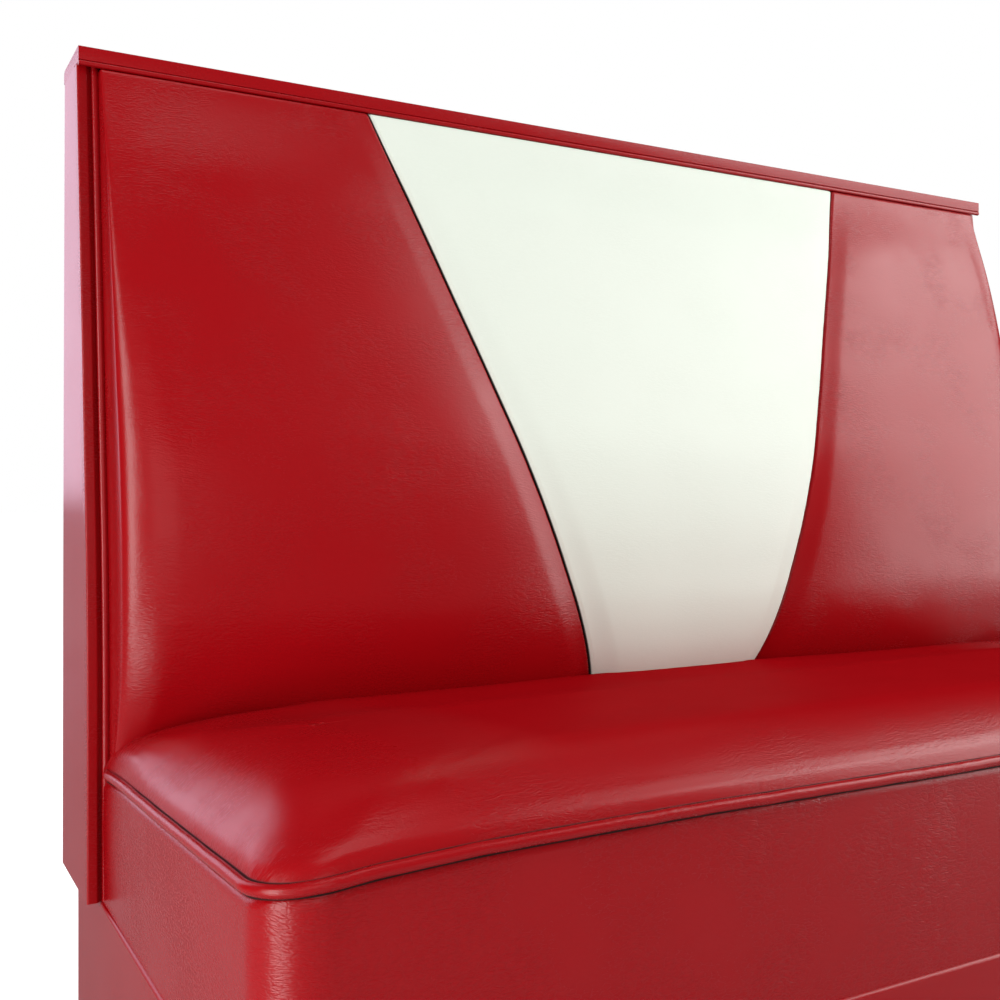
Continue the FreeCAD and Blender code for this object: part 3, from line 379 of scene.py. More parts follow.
# distance from the front corner, back along the side or, below nought, in along the front; height
WELT = np.array([
    (-0.595, 0.4494), (-0.520, 0.4495), (-0.440, 0.4503), (-0.364, 0.4508), (-0.294, 0.4514), (-0.230, 0.4510),
    (-0.170, 0.4506), (-0.142, 0.4502), (-0.115, 0.4494), (-0.089, 0.4483), (-0.064, 0.4469), (-0.035, 0.4443),
    (0.000, 0.4413), (0.050, 0.4383), (0.121, 0.4338), (0.182, 0.4303), (0.249, 0.4265), (0.316, 0.4232),
    (0.393, 0.4194), (0.460, 0.4128),
])


def seam_height(x, y):
    """The height of the welt's middle, by the distance from its corner: it climbs to the front, and in the
    middle of the front the foam holds it up."""
    return through(WELT, (y - SEAT_FRONT) - (SEAT_HALF - np.abs(x)))


def outward(x, y):
    """The direction that points out of the seat at each point of its outline, square to the run."""
    tangent = np.stack([np.gradient(x[0]), np.gradient(y[0])])
    tangent /= np.linalg.norm(tangent, axis=0)
    return np.stack([tangent[1], -tangent[0]])


print("welt, rear to front", seam_height(np.full(4, 0.595), np.array([0.16, 0.0, -0.15, -0.26])).round(4))

# %% [markdown]
# ## The seat's pillow
#
# The top of the seat is a pillow: firm foam with a softer sheet over it, under one panel of vinyl. It rises
# steeply at the welt, rounds over and is almost level in the middle. Rings drawn in from the welt make it: near
# the welt they lie close together, because the form turns fastest there. Behind, it dives under the back pads.
# Where people sit, its gloss is rubbed off.

# %% Rings from the welt to the middle
# how far in from the welt, and how far above it; first where the pillow is free, then under the back pads
FREE = np.array([
    (-0.001, 0.0), (0.001, 0.0055), (0.003, 0.0100), (0.008, 0.0165), (0.016, 0.0238), (0.026, 0.0318),
    (0.038, 0.0397), (0.050, 0.0453), (0.065, 0.0497), (0.090, 0.0526), (0.130, 0.0538), (0.190, 0.0540),
    (0.240, 0.0540),
])
PRESSED = np.array([
    (-0.001, 0.0), (0.001, 0.0080), (0.005, 0.0180), (0.012, 0.0260), (0.024, 0.0340), (0.040, 0.0412),
    (0.058, 0.0465), (0.093, 0.0515), (0.130, 0.0532), (0.190, 0.0540), (0.240, 0.0540),
])


# the plain slope under the pillow: its height at the rear and its rise to the front
SLOPE_LOW, SLOPE_RISE = 0.416, 0.030
# the pads hold the pillow under this height, which is less to the right and dives at the rear
HELD_UNDER, HELD_RIGHT, HELD_DIVE = 0.4690, 0.0035, 0.052


def seat_top():
    """Stack the rings: a ring's height is the welt's, eased to a plain slope further in, plus the pillow's
    rise, which follows one table where it is free and another where it is pressed under the pads.

    On the UV map a point lies where it is seen from above, moved outward by what the climb adds to the
    run across the seat, so that the grain keeps its size on the steep sides. The three marks: pull, along
    the welt; a painted shade, dark in the crease where the pillow dives behind the welt, apart from the rear;
    worn, from the front edge on, fading out towards both ends.
    """
    run = 0.75, 210, 56, 24
    deep = (SEAT_REAR - SEAT_FRONT) / 2
    inset = np.concatenate([[-0.0003], deep * np.linspace(0.02, 1, 92) ** 2.2])
    x, y = outline(inset, *run)
    rows = inset[:, None] * np.ones_like(x)
    plane = SLOPE_LOW + SLOPE_RISE * (SEAT_REAR - y) / (SEAT_REAR - SEAT_FRONT)
    edge_x, edge_y = outline(0.0, *run)
    follow = 1 - smooth(rows / 0.15)
    base = plane + (seam_height(edge_x, edge_y) - plane[:1]) * follow
    behind = smooth((y + 0.02) / 0.10)
    z = base + through(FREE, rows) * (1 - behind) + through(PRESSED, rows) * behind
    z = z + 0.0006 * ripple(x, y, (0.42, 0.31, 0.23), 21) * smooth(rows / 0.05)
    shallow = smooth(rows / 0.02) * (1 - smooth(rows / 0.1))
    z = z + 0.00012 * ripple(x, y, (0.09, 0.06, 0.075), 22) * shallow
    under = np.clip((y - 0.104) / 0.05, 0, 1)
    ceiling = HELD_UNDER - HELD_RIGHT * smooth(x / 0.4) - HELD_DIVE * under ** 1.6
    held = smooth((y + 0.06) / 0.145)
    z = z * (1 - held) + np.minimum(z, ceiling) * held
    z[0] -= 0.003
    top = np.stack([x, y, z], axis=2)
    low = top[:1].copy()
    low[..., 2] = seam_height(edge_x, edge_y) - 0.012
    low[..., :2] *= 0.996
    points = np.concatenate([low, top])
    plan = points * (1, 1, 0)
    lift = (run_length(np.moveaxis(points, 0, 1)) - run_length(np.moveaxis(plan, 0, 1))).T
    uv = points[..., :2] + (lift[-1:] - lift)[..., None] * outward(*outline(0.01, *run)).T
    pull = 0.25 * (1 - smooth((np.concatenate([[0], inset])[:, None] - 0.004) / 0.04))
    # painted shade: up to 3.4 mm above the welt's middle, fading out by 4.2 mm, the colour goes almost black, as
    # the crease behind the welt would look in shade; not along the rear
    seam = 1 - smooth((points[..., 2] - seam_height(edge_x, edge_y) - 0.0034) / 0.0008)
    seam = seam * (edge_y < SEAT_REAR - 0.002)
    worn = smooth((points[..., 1] - SEAT_FRONT - 0.001) / 0.06) * smooth((0.50 - np.abs(points[..., 0])) / 0.14)
    return points, uv, pull, seam, worn


points, uv, pull, seam, worn = seat_top()
seat = skin("seat_pillow", points, uv, closed=True, pull=pull, seam=seam, worn=worn)
# the innermost ring folds onto one line: its points are merged, and the open foot is closed
merged = bmesh.new()
merged.from_mesh(seat.data)
bmesh.ops.remove_doubles(merged, verts=merged.verts, dist=0.00004)
bmesh.ops.holes_fill(merged, edges=[edge for edge in merged.edges if edge.is_boundary])
bmesh.ops.recalc_face_normals(merged, faces=merged.faces)
merged.to_mesh(seat.data)
merged.free()
seat.data.set_sharp_from_angle(angle=SHARP)
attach(seat, "root")
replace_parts(seat, "seat_top_panel", "seat_topper", "seat_slab")

# %% [markdown]
# ## The boxing and the welt
#
# The boxing is the upright band round the seat. It is sewn to the welt, so it rolls inwards at its top, and it
# is stapled under the seat's rail, so it stays tight and nearly flat below. The welt is a cord wrapped in
# vinyl. Both are sections carried along the outline.

# %% The boxing
WELT_RADIUS, BOXING_OUT = 0.004, 0.0008
BAND_X, BAND_Y = outline(0.0, 0.0, 260, 90, 26)
# nought along the front, one along the sides
BESIDE = smooth((BAND_Y - SEAT_FRONT - 0.005) / 0.05)
# the band ends this far under the welt's middle, and its recess is 2.2 mm high in front and 7 along the sides
BAND_DROP, RECESS = 0.0018, 0.0022 + 0.0048 * BESIDE
RECESS_TURN, RECESS_DEEP = 0.0070, 0.0045


def boxing():
    """A thin band: its outer face runs from under the base's edge up to a roll below the welt.

    The face stands out by a few tenths of a millimetre in slow waves, because vinyl that is stretched
    round a frame never lies quite flat. Below the welt lies the recess, and the 7 mm under it turn in
    along a quarter of an ellipse: RECESS_DEEP x (1 - sqrt(1 - (1 - s)^2)), with s from nought to one.
    The last 40 mm at the rear reach on to the front line of the strips.
    """
    share = np.concatenate([np.linspace(0, 0.86, 40), 0.86 + 0.14 * np.linspace(0, 1, 41)[1:]])
    top = seam_height(BAND_X, BAND_Y) - BAND_DROP
    low = BASE_TOP - 0.0005
    normal = outward(BAND_X, BAND_Y)
    to_strip = smooth((BAND_Y - SEAT_REAR + 0.04) / 0.04)
    rows = []
    for part in share:
        z = low + (top - low) * part
        below = np.clip((top - RECESS - z) / RECESS_TURN, 0, 1)
        draw_in = RECESS_DEEP * (1 - np.sqrt(np.maximum(1 - (1 - below) ** 2, 0)))
        slow = ripple(BAND_X + BAND_Y, z * 1.6, (0.33, 0.21, 0.14), 31) * 0.0004
        swell = 0.0007 * math.sin(math.pi * part)
        y = BAND_Y + (front_line(z)[0] + 0.0015 - SEAT_REAR) * to_strip
        shift = swell + slow * below * 0.7 - draw_in + BOXING_OUT
        rows.append(np.stack([BAND_X + normal[0] * shift, y + normal[1] * shift, z], axis=2)[0])
    outer = np.array(rows)
    inner = outer.copy()
    inner[..., :2] -= normal.T * 0.002
    return np.concatenate([outer, inner[::-1]])


band = np.moveaxis(boxing(), 0, 1)
walk = run_length(band[:, 0])
uv = np.stack([walk[:, None] * np.ones(band.shape[:2]), band[..., 2]], axis=2)
# how far a point lies under the lower edge of the painted shade, a dark line painted in the crevice under the welt:
# that is the recess's foot along the sides, and 1.8 mm above it in front
low_by = (seam_height(BAND_X, BAND_Y) - RECESS - BAND_DROP * BESIDE)[0][:, None] - band[..., 2]
# painted shade: from the band's top down to between 0.3 and 1.1 mm under that edge the colour goes almost black,
# standing in for the shadow in the recess under the welt
boxing_piece = skin(
    "seat_boxing_cover", band, uv, closed=True, ends="face", net=1.0, seam=1 - smooth((low_by - 0.0003) / 0.0008),
    pull=smooth((np.abs(band[..., 0]) - 0.53) / 0.03) * smooth((-0.22 - band[..., 1]) / 0.03),
)
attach(boxing_piece, "root")
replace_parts(boxing_piece, "seat_boxing")


# %% The welt
def cord_along(path, radius, sides=20):
    """A tube round a path: at each point a circle in the plane of the upright and the outward direction.

    Near its two ends the circle shrinks as the square root of 1 - (1 - s)^2, so that each is a round cap.
    """
    step = np.gradient(path, axis=0)
    step /= np.linalg.norm(step, axis=1)[:, None]
    up = np.array([0.0, 0.0, 1.0]) - step * step[:, 2:3]
    up /= np.linalg.norm(up, axis=1)[:, None]
    out = np.cross(step, up)
    angle = np.linspace(0, 2 * math.pi, sides + 1)[:-1]
    walked = run_length(path)
    near_end = np.clip(np.minimum(walked, walked[-1] - walked) / radius, 0.02, 1)
    radius_here = radius * np.sqrt(1 - (1 - near_end) ** 2)[:, None, None]
    ring = path[:, None] + radius_here * (
        out[:, None] * np.cos(angle)[:, None] + up[:, None] * np.sin(angle)[:, None]
    )
    around = np.linspace(0, 2 * math.pi * radius, sides + 1)
    uv = np.stack(np.broadcast_arrays(walked[:, None], around[None, :]), axis=2)
    return ring, uv


x, y = outline(0.0, 0.0, 300, 110, 34)
out = outward(x, y)
tuck = 0.0018 + BOXING_OUT - 0.0085 * smooth((y[0] - SEAT_REAR + 0.030) / 0.030)
x, y = x[0] + out[0] * tuck, y[0] + out[1] * tuck
path = np.stack([x, y, seam_height(x, y)], axis=1)
path[:, 2] += ripple(x, y, (0.05, 0.083, 0.031), 41) * 0.00025
# close points within one radius of each end, so that its cap comes out round
ahead = (path[1] - path[0]) / np.linalg.norm(path[1] - path[0])
tip = path[0] + ahead * WELT_RADIUS * np.linspace(0, 1, 7)[:, None]
path = np.concatenate([tip[:-1], path[path[:, 1] < tip[-1][1]], tip[:-1][::-1] * (-1, 1, 1)])
tube, uv = cord_along(path, WELT_RADIUS)
welt = skin("seat_welt_cover", tube, uv, closed=True, ends="face")
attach(welt, "root")
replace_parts(welt, "seat_welt")

# %% [markdown]
# ## The strips down the ends
#
# A slim wrapped strip closes each end of the back. Its outer part is flat, a groove follows, and a bead stands
# along the inner edge, beside the pad. It is one section carried up the front line.


# %% The strip's section, carried up the back
def strip_section():
    """Width from the outer edge and depth behind the front, in millimetres, walked once round."""
    outer = [(0, 11.9), (0, 1.6)]
    edge = turn((1.5, 1.5), 1.5, 180, 270, 9)
    flat = [(3, 0.0), (5, 0.0), (7.6, 0.0)]
    s = np.linspace(0, 1, 14)[1:-1]
    groove = np.stack([7.9 + 4.9 * s, 3.3 * smooth(s) ** 1.15], axis=1)
    over = np.linspace(0.12, math.pi, 22)
    bead = np.stack([16.55 - 3.75 * np.cos(over), 4.0 - 3.75 * np.sin(over)], axis=1)
    inner = [(20.35, 6.0), (20.35, 11.9)]
    return np.concatenate([outer, edge, flat, groove, bead, inner]) * MM


def strip(name, side):
    """Move the section up the front line; the depth is measured square to that line, and level at the top."""
    section = strip_section()
    top = STRIP_TOP + 0.0054
    z = np.linspace(BASE_TOP, top, 130)
    slope = np.gradient(front_line(z), z)
    tilt = 1 / np.sqrt(1 + slope ** 2)
    x = side * (HALF - section[None, :, 0]) * np.ones_like(z)[:, None]
    y = front_line(z)[:, None] + section[None, :, 1] * tilt[:, None]
    height = z[:, None] - section[None, :, 1] * (slope * tilt)[:, None] * smooth((top - z) / 0.05)[:, None]
    points = np.stack([x, y, height], axis=2)
    u = front_line(z)[:, None] + 0.0123 - run_length(section)[None, :]
    uv = np.stack([u, z[:, None] * np.ones_like(u)], axis=2)
    piece = skin(name, points, uv, closed=True, ends="face")
    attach(piece, "root")
    return piece


for side, name in ((-1, "left"), (1, "right")):
    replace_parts(strip(f"strip_{name}", side), f"end_strip_{name}")

# %% [markdown]
# ## The outside of the back
#
# One wide piece of vinyl goes round the outside of the back from strip to strip, over a thin layer of wadding
# that rounds its two rear corners. It is a thin wall whose section is a long U, the same at every height but
# for the front and rear lines.


# %% The outside cover
def outside():
    """Go from the left strip back along the side, round the corner, across the rear and forward again."""
    z = np.linspace(BASE_TOP, CAP_LOW, 80)
    rear, start = rear_line(z), front_line(z) + 0.0120
    radius, wall = 0.012, 0.0024
    quarter = np.radians(np.linspace(0, 90, 12))
    ones = np.ones_like(z)[:, None]
    walls = []
    for skin_depth in (0.0, wall):
        r = radius - skin_depth
        half = HALF - skin_depth
        share = np.linspace(0, 1, 24)[None, :-1]
        side_y = start[:, None] + (rear[:, None] - radius - start[:, None]) * share
        corner_x = -half + r * (1 - np.cos(quarter))[None, :] * ones
        corner_y = rear[:, None] - radius + r * np.sin(quarter)[None, :]
        across = np.linspace(-1, 1, 60)[None, 1:-1] * (half - r)
        x = np.hstack([-half * np.ones_like(side_y), corner_x, across * ones, -corner_x[:, ::-1],
                       half * np.ones_like(side_y)])
        y = np.hstack([side_y, corner_y, (rear[:, None] - skin_depth) * np.ones_like(across),
                       corner_y[:, ::-1], side_y[:, ::-1]])
        walls.append(np.stack([x, y, z[:, None] * np.ones_like(x)], axis=2))
    soft = ripple(walls[0][..., 0], walls[0][..., 2], (0.4, 0.27, 0.19), 61) * 0.0004
    walls[0][..., 1] += np.where(walls[0][..., 1] > rear[:, None] - 0.0005, soft, 0)
    return walls


outer, inner = outside()
points = np.concatenate([outer, inner[:, ::-1]], axis=1)
u = run_length(outer)
u = np.hstack([u, u[:, ::-1]]) + outer[:, :1, 1]
uv = np.stack([u, points[..., 2]], axis=2)
outside_piece = skin("outside_cover", points, uv, closed=True, ends="wall", calm=0.8)
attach(outside_piece, "root")
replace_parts(outside_piece, "outside_back_cover")

# %% [markdown]
# ## The cap and its bead
#
# The cap is a board wrapped in the same vinyl. Its front edges are crisp and its rear top edge is eased. Under
# its front hangs a bead, a cord in a fold of vinyl. Both are sections carried straight across the width.


# %% A section carried across the width
def crosswise(name, section, first, last, steps, node):
    """Carry a closed section of depth and height from one end of the booth to the other."""
    x = np.linspace(first, last, steps)
    points = np.stack([
        x[:, None] * np.ones(len(section)), section[None, :, 0] * np.ones_like(x)[:, None],
        section[None, :, 1] * np.ones_like(x)[:, None],
    ], axis=2)
    around = run_length(np.vstack([section, section[:1]]))
    uv = np.stack(np.broadcast_arrays(x[:, None], around[None, :]), axis=2)
    piece = skin(name, points, uv, closed=True, ends="face", calm=0.3)
    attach(piece, "root")
    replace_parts(piece, node)


def rounded_box(low, high, radii, count=6):
    """A rectangle of depth and height whose four corners have their own radii, from the front foot on."""
    (y0, z0), (y1, z1) = low, high
    a, b, c, d = radii
    return np.concatenate([
        turn((y0 + a, z0 + a), a, 180, 270, count), turn((y1 - b, z0 + b), b, 270, 360, count),
        turn((y1 - c, z1 - c), c, 0, 90, count), turn((y0 + d, z1 - d), d, 90, 180, count),
    ])


low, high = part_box("cap_cover")
section = rounded_box((low.y, low.z), (high.y, high.z), (0.0008, 0.0015, 0.005, 0.0010))
crosswise("cap_wrap", section, low.x, high.x, 60, "cap_cover")

low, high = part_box("cap_bead")
bead_radius, flange_low = 0.0025, high.z - 0.0012
middle = (low.y + bead_radius - 0.0006, high.z - bead_radius)
around = turn(middle, bead_radius, 90, 330, 18)
flange = np.array([(middle[0] + bead_radius + 0.001, flange_low), (high.y, flange_low), (high.y, high.z)])
crosswise("cap_cord", np.concatenate([around, flange]), low.x, high.x, 60, "cap_bead")

# %% [markdown]
# ## The base's cover
#
# The base under the seat is a plywood box with vinyl pulled round it and turned in at the top, where it stands
# 3 mm proud of the seat. The rounded top edge catches a thin line of light.


# %% The base's cover
def base_cover():
    """A band round all four sides: foot, outer face, a quarter turn over the top edge, and back inside.

    At the rear it lies 1.2 mm outside the panel that it covers.
    """
    low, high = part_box("base_wrap")
    half, front, rear = high.x, low.y, high.y + 0.0012
    corner, edge_radius = SEAT_CORNER + 0.003, 0.003
    quarter = np.radians(np.linspace(0, 90, 18))
    sides = np.linspace(0, 1, 40)[1:-1]
    across = np.linspace(-1, 1, 80)[1:-1]

    def ring(inset):
        h, f, r = half - inset, front + inset, rear - inset
        c, back = corner - inset, 0.004 - min(inset, 0.0035)
        left_x = np.concatenate([np.full(len(sides), -h), -h + c * (1 - np.cos(quarter))])
        left_y = np.concatenate([r - back + (f + c - r + back) * sides, f + c * (1 - np.sin(quarter))])
        rear_x = h - back * (1 - np.cos(quarter))
        rear_y = r - back * (1 - np.sin(quarter))
        level = np.ones(len(across))
        x = [left_x, (h - c) * across, -left_x[::-1], rear_x, (h - back) * -across, -rear_x[::-1]]
        y = [left_y, f * level, left_y[::-1], rear_y, r * level, rear_y[::-1]]
        return np.concatenate(x), np.concatenate(y)

    section = np.concatenate([
        [(0.002, low.z), (0.0, low.z + 0.001)],
        spaced([(0, low.z + 0.002), (0, high.z - 0.0032)], 30),
        turn((edge_radius, high.z - edge_radius), edge_radius, 180, 90, 10),
        [(0.006, high.z - 0.0002), (0.006, high.z - 0.002), (0.002, high.z - 0.004), (0.002, low.z + 0.002)],
    ])
    rows = []
    for inset, z in section:
        x, y = ring(inset)
        rows.append(np.stack([x, y, np.full(len(x), z)], axis=1))
    return np.array(rows), section


rows, section = base_cover()
points = np.moveaxis(rows, 0, 1)
points = np.concatenate([points, points[:1]])
walk = run_length(rows[2])
walk = np.concatenate([walk, [walk[-1] + 0.002]])
uv = np.stack(np.broadcast_arrays(walk[:, None], run_length(section)[None, :]), axis=2)
base = skin("base_cover", points, uv, closed=True, calm=0.6)
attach(base, "root")
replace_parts(base, "base_wrap")

# %% [markdown]
# ## Shader maths as plain expressions
#
# A node tree is hard to read once it holds more than a few Math nodes. A small class wraps a socket, so that a
# pattern is written as an expression, and Blender gets the nodes.


# %% A socket that can be added and multiplied
class Wire:
    """A socket's value in an expression: each operator adds one Math node to its tree."""

    def __init__(self, tree, socket):
        self.tree, self.socket = tree, socket

    def maths(self, operation, *values, clamp=False):
        node = self.tree.nodes.new("ShaderNodeMath")
        node.operation, node.use_clamp = operation, clamp
        for place, value in zip(node.inputs, values):
            if isinstance(value, Wire):
                self.tree.links.new(value.socket, place)
            else:
                place.default_value = value
        return Wire(self.tree, node.outputs[0])

    def __add__(self, other):
        return self.maths("ADD", self, other)

    def __sub__(self, other):
        return self.maths("SUBTRACT", self, other)

    def __mul__(self, other):
        return self.maths("MULTIPLY", self, other)

    def __rsub__(self, other):
        return self.maths("SUBTRACT", other, self)

    __rmul__ = __mul__

    def __abs__(self):
        return self.maths("ABSOLUTE", self)

    def between(self, low, high):
        """0 below the low value, 1 above the high one, straight between them."""
        return self.maths("MULTIPLY", self - low, 1 / (high - low), clamp=True)


class Finish:
    """A material with one Principled shader; add() makes any other node.

    In the names of its sockets an underscore stands for a space, and _2 is the socket number 2.
    """

    def __init__(self, name, **constants):
        self.material = bpy.data.materials.new(name)
        self.material.use_nodes = True
        self.tree = self.material.node_tree
        self.shader = self.tree.nodes["Principled BSDF"]
        for socket, value in constants.items():
            self.shader.inputs[socket.replace("_", " ")].default_value = value

    def add(self, kind, settings=None, out=0, **inputs):
        """One node: its type, its settings, then the values or links of its sockets by name."""
        node = self.tree.nodes.new(kind)
        for key, value in (settings or {}).items():
            setattr(node, key, value)
        for key, value in inputs.items():
            socket = node.inputs[int(key[1:])] if key[1:].isdigit() else node.inputs[key.replace("_", " ")]
            if isinstance(value, Wire):
                self.tree.links.new(value.socket, socket)
            else:
                socket.default_value = value
        return Wire(self.tree, node.outputs[out])

    def noise(self, place, scale, detail=2.0, roughness=0.5):
        return self.add("ShaderNodeTexNoise", Vector=place, Scale=scale, Detail=detail, Roughness=roughness)

    def stretched(self, place, scale, location=(0, 0, 0), turned=0.0):
        return self.add("ShaderNodeMapping", Vector=place, Scale=scale, Location=location, Rotation=(0, 0, turned))

    def blend(self, share, first, second):
        """A mix of two colours."""
        return self.add("ShaderNodeMix", {"data_type": "RGBA"}, 2, _0=share, _6=first, _7=second)

    def set(self, **links):
        for socket, wire in links.items():
            self.tree.links.new(wire.socket, self.shader.inputs[socket.replace("_", " ")])

    def bump(self, height, distance):
        """Height in units of the distance, which is in metres."""
        self.set(Normal=self.add("ShaderNodeBump", Height=height, Distance=distance, Strength=1.0))

    def finish_with(self, share, first, second):
        """Give the material a mix of two shaders."""
        mixed = self.add("ShaderNodeMixShader", _0=share, _1=first, _2=second)
        self.tree.links.new(mixed.socket, self.tree.nodes["Material Output"].inputs[0])


# %% [markdown]
# ## Vinyl
#
# Booth vinyl is a soft plastic film with a pressed grain. Close up it shows three things: a fine pebble all
# over, patches of short creases that lie side by side, and small puckers where it is pulled over an edge. All
# three are heights in one bump, at their real size, because the UV map is in metres. The colour hardly changes:
# it is a little darker in a crease, which is painted shade, and almost black in the fold at a sewn edge, which
# is painted shade too. The gloss changes slowly across the panel, as it does on a wiped seat, and where the
# seat is worn, most of it is gone.


# %% The vinyl
def vinyl(name, colour, deep, roughness, grain):
    """Height in tenths of a millimetre: pebble - creases in patches - a net of cracks + puckers where pulled.

    A crease is where a stretched noise passes its middle value: 1 - k x its distance from the middle, cut
    off at nought. The marks come from the mesh: pull raises puckers, net adds the net of cracks, calm
    takes out the creases and most of the pebble, the painted shade at a sewn edge darkens its fold almost
    to black, as the crevice would look in shade, and dulls it, and worn mixes in a shader of the same
    colour that mirrors nothing. A noise has about as many grains in a metre as its scale says.
    """
    f = Finish(name, Roughness=roughness, Specular_IOR_Level=0.3)
    place = f.add("ShaderNodeUVMap", {"uv_map": "metres"})
    marks = ("pull", "net", "seam", "worn", "calm")
    pull, net, seam, worn, calm = (f.add("ShaderNodeAttribute", {"attribute_name": mark}, 2) for mark in marks)
    slow = f.noise(place, 6.0)
    bend = f.add("ShaderNodeTexNoise", {"noise_dimensions": "2D"}, 1, Vector=place, Scale=22.0, Detail=2.0)
    offset = f.add("ShaderNodeVectorMath", {"operation": "SCALE"}, Vector=bend, Scale=0.012)
    moved = f.add("ShaderNodeVectorMath", {"operation": "ADD"}, _0=place, _1=offset)
    first = f.noise(f.stretched(moved, (0.22, 1.0, 1.0)), 380.0)
    first = (1 - abs(first * 2 - 1) * 3.6).between(0, 1)
    second = f.noise(f.stretched(moved, (0.45, 1.0, 1.0), (3.1, 1.7, 0), 0.4), 300.0)
    second = (1 - abs(second * 2 - 1) * 5.0).between(0, 1)
    patches = f.noise(place, 12.0).between(0.30, 0.80)
    other = f.noise(f.stretched(place, (1.0, 1.0, 1.0), (7.3, 2.1, 0)), 13.0).between(0.42, 0.75)
    cells = f.add(
        "ShaderNodeTexVoronoi", {"feature": "DISTANCE_TO_EDGE", "voronoi_dimensions": "2D"},
        Vector=f.stretched(moved, (0.42, 1.0, 1.0)), Scale=330.0,
    )
    netted = (1 - cells * 6.0).between(0, 1) * (net * 0.55 + 0.10) * (patches * 0.6 + 0.4)
    cracks = (first * patches + second * other * 0.4 + netted) * (1 - calm)
    pebble = (f.noise(place, 1300.0) * 0.30 + f.noise(place, 520.0) * 0.45) * (1 - 0.8 * calm)
    puckers = f.noise(f.stretched(moved, (0.22, 1.0, 1.0), (1.9, 5.2, 0)), 290.0) * pull
    f.bump(pebble - cracks * grain + puckers * grain, 0.0001)
    # darker in the cracks and creases, which is painted shade in the creases, plus a slow random tone
    shade = (cracks * 0.30 + (slow - 0.5) * 0.3 + 0.05).between(0.0, 1.0)
    tone = f.blend(shade, colour, deep)
    # painted shade: where this mark is set, the colour goes to 6% of the deep tone, almost black, as the crevice at
    # a sewn edge would look in shade; the roughness rises with it
    tone = f.blend(seam, tone, (deep[0] * 0.06, deep[1] * 0.06, deep[2] * 0.06, 1))
    wiped = (slow - 0.5) * 0.06 + cracks * 0.05
    f.set(Base_Color=tone, Roughness=wiped + seam * 0.5 + worn * 0.25 + roughness)
    dull = f.add("ShaderNodeBsdfPrincipled", Base_Color=tone, Roughness=0.9, Specular_IOR_Level=0.0)
    f.finish_with(worn * 0.92, Wire(f.tree, f.shader.outputs[0]), dull)
    return f.material


RED = vinyl("red_vinyl_film", (0.305, 0.0013, 0.0038, 1), (0.230, 0.0010, 0.0026, 1), 0.25, 1.4)
CREAM = vinyl("cream_vinyl_film", (0.695, 0.745, 0.660, 1), (0.650, 0.695, 0.612, 1), 0.40, 0.60)

# %% [markdown]
# ## The frame's own finishes
#
# What the vinyl leaves bare shows from below and behind: birch plywood, black laminate on the toe kick,
# zinc-plated steel, a moulded nylon foot. They are patterns on Object coordinates, which the frame's pieces keep
# because each one's place is in its mesh.


# %% Plywood, laminate, steel, nylon, felt and foam
def plywood():
    """Pale birch: a long figure along X, a noise stretched 12 to 1, with darker and rougher pores in it."""
    f = Finish("birch_plywood", Roughness=0.6)
    place = f.add("ShaderNodeTexCoord", out=3)
    figure = f.noise(f.stretched(place, (1.2, 14.0, 14.0)), 6.0, 4.0, 0.6)
    pores = f.noise(f.stretched(place, (6.0, 60.0, 60.0)), 9.0)
    tone = figure.between(0.3, 0.7)
    colour = f.blend(tone, (0.58, 0.40, 0.22, 1), (0.42, 0.26, 0.125, 1))
    f.set(Base_Color=f.blend(pores.between(0.58, 0.72) * 0.5, colour, (0.25, 0.15, 0.07, 1)),
          Roughness=pores * 0.2 + 0.5)
    f.bump(pores + figure, 0.0002)
    return f.material


def plain(name, colour, other, roughness, scale, metallic=0.0, bump=0.00005):
    """A moulded, plated or woven surface: two close tones and a small relief from one noise."""
    f = Finish(name, Metallic=metallic)
    speck = f.noise(f.add("ShaderNodeTexCoord", out=3), scale, 3.0, 0.6)
    f.set(Base_Color=f.blend(speck.between(0.35, 0.65), colour, other), Roughness=speck * 0.15 + (roughness - 0.07))
    f.bump(speck, bump)
    return f.material


FINISHES = {
    "plywood": plywood(),
    "black_laminate": plain("black_laminate", (0.014, 0.014, 0.015, 1), (0.022, 0.022, 0.023, 1), 0.42, 700.0),
    "steel": plain("zinc_plated_steel", (0.62, 0.62, 0.60, 1), (0.50, 0.51, 0.50, 1), 0.34, 320.0, 1.0),
    "nylon": plain("black_nylon", (0.020, 0.020, 0.021, 1), (0.030, 0.030, 0.031, 1), 0.48, 900.0),
    "felt": plain("needled_felt", (0.26, 0.25, 0.23, 1), (0.13, 0.125, 0.12, 1), 0.95, 500.0, 0.0, 0.0006),
    "foam": plain("open_cell_foam", (0.80, 0.74, 0.52, 1), (0.66, 0.60, 0.38, 1), 0.95, 800.0, 0.0, 0.0004),
    "red_vinyl": RED,
    "cream_vinyl": CREAM,
}
slots = {part["node"]: part["material_slot"] for part in frame["record"]["subparts"]}
for name, node in NODES.items():
    node.data.materials.clear()
    node.data.materials.append(FINISHES[slots[name]])
covers = [piece for piece in bpy.data.objects if piece.type == "MESH" and piece.name not in NODES]
for piece in covers:
    piece.data.materials.append(CREAM if piece.name == "pad_centre" else RED)
print(len(covers), "covers and", len(slots), "pieces of the frame have their finish")

# %% [markdown]
# ## Floor, light and camera
#
# The booth stands in a plain bright studio. The backdrop is white to the camera. The vinyl mirrors just the lamps:
# a tall window to the left, whose light runs down the pad's edge, a low glow that the seat's left shoulder picks
# up, a dim panel on the left in front, a wall behind, seen in the side of the back, and large soft lights to the
# right of the camera and overhead. The room itself gives light but isn't mirrored, which is why the red stays deep
# in the middle.

# %% The floor
FLOOR_HALF = 30.0
floor_mesh = bpy.data.meshes.new("floor")
floor_corners = [(FLOOR_HALF * x, FLOOR_HALF * y, 0) for x, y in ((-1, -1), (1, -1), (1, 1), (-1, 1))]
floor_mesh.from_pydata(floor_corners, [], [(0, 1, 2, 3)])
floor = bpy.data.objects.new("floor", floor_mesh)
bpy.context.scene.collection.objects.link(floor)
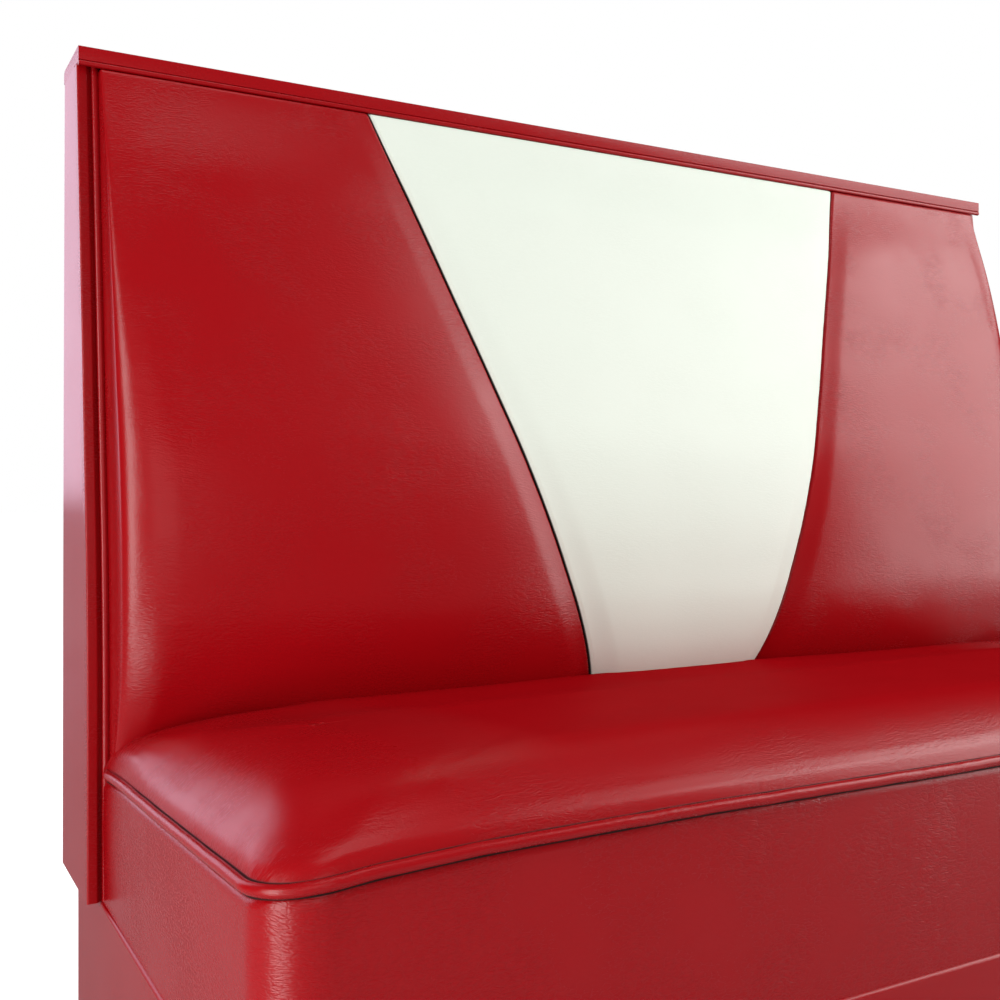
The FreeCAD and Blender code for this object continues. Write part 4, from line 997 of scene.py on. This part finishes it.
# the camera sees a white floor with soft shadows, and everything else a plain grey one
ground = Finish("pale_floor", Base_Color=(0.37, 0.37, 0.38, 1), Roughness=0.9, Specular_IOR_Level=0.0)
seen = ground.add("ShaderNodeBsdfDiffuse", Color=(0.86, 0.86, 0.86, 1))
white = ground.add("ShaderNodeEmission", Color=(1, 1, 1, 1), Strength=0.60)
shadowed = ground.add("ShaderNodeAddShader", _0=seen, _1=white)
to_camera = ground.add("ShaderNodeLightPath")
ground.finish_with(to_camera, Wire(ground.tree, ground.shader.outputs[0]), shadowed)
floor_mesh.materials.append(ground.material)

# %% The world
world = bpy.data.worlds.new("studio")
bpy.context.scene.world = world
world.use_nodes = True
tree = world.node_tree
back = tree.nodes["Background"]
path = tree.nodes.new("ShaderNodeLightPath")
rays = {name: Wire(tree, path.outputs[name]) for name in ("Is Camera Ray", "Is Transmission Ray", "Is Glossy Ray")}
# what the room gives to a matt surface, and what a glossy one mirrors of it
ROOM, MIRRORED = 0.48, 0.0
open_sky = rays["Is Camera Ray"].maths("MAXIMUM", rays["Is Camera Ray"], rays["Is Transmission Ray"])
strength = open_sky + (1 - open_sky) * (rays["Is Glossy Ray"] * (MIRRORED - ROOM) + ROOM)
back.inputs["Color"].default_value = (1, 1, 1, 1)
tree.links.new(strength.socket, back.inputs["Strength"])


# %% The lamps
def soft_light(name, place, aim, width, height, radiance, colour=(1, 1, 1)):
    """An area lamp that looks from one point to another; its power is radiance x area x pi."""
    lamp = bpy.data.lights.new(name, "AREA")
    lamp.shape, lamp.size, lamp.size_y = "RECTANGLE", width, height
    lamp.energy = radiance * width * height * math.pi
    lamp.color = colour
    light = bpy.data.objects.new(name, lamp)
    bpy.context.scene.collection.objects.link(light)
    light.location = place
    direction = np.array(aim, float) - np.array(place, float)
    light.rotation_euler = (
        math.atan2(math.hypot(direction[0], direction[1]), -direction[2]), 0,
        math.atan2(direction[1], direction[0]) - math.pi / 2,
    )
    light.visible_camera = False


# name, where it hangs, what it looks at, width, height, radiance, colour
soft_light("window_left", (-2.27, -0.58, 0.86), (-0.55, 0.0, 0.60), 0.72, 1.66, 8.0)
soft_light("glow_left", (-1.42, -0.64, 0.17), (-0.58, -0.28, 0.35), 0.50, 0.30, 6.0)
soft_light("wall_behind", (-1.34, 3.67, 1.86), (-0.4, 0.1, 0.80), 3.0, 2.62, 1.9, (0.90, 0.80, 1.0))
soft_light("wall_low", (-1.34, 3.60, 0.30), (-0.6, 0.1, 0.40), 3.0, 0.50, 0.3, (0.95, 0.85, 1.0))
soft_light("window_right", (2.80, -1.45, 1.50), (0.2, 0.05, 0.6), 2.1, 2.9, 4.7)
soft_light("high_right", (1.75, -1.15, 2.55), (0.2, -0.2, 0.45), 1.7, 1.5, 1.9)
soft_light("fill_left", (-1.00, -1.80, 1.05), (0.0, -0.3, 0.36), 1.7, 1.1, 1.09)
soft_light("ceiling", (-0.1, -0.87, 5.5), (-0.1, 0.0, 0.6), 2.6, 2.6, 1.6)

# %% The camera
camera_data = bpy.data.cameras.new("camera")
camera_data.sensor_width, camera_data.lens = 36.0, 42.03
camera_data.shift_x, camera_data.shift_y = 0.0009, -0.0139
camera = bpy.data.objects.new("camera", camera_data)
camera.location = (-0.7935, -0.911, 0.665)
camera.rotation_euler = (math.pi / 2, 0, -math.radians(29.18))
bpy.context.scene.collection.objects.link(camera)
bpy.context.scene.camera = camera
bpy.context.scene.view_settings.view_transform = "Standard"

# %% The end
bpy.context.view_layer.update()
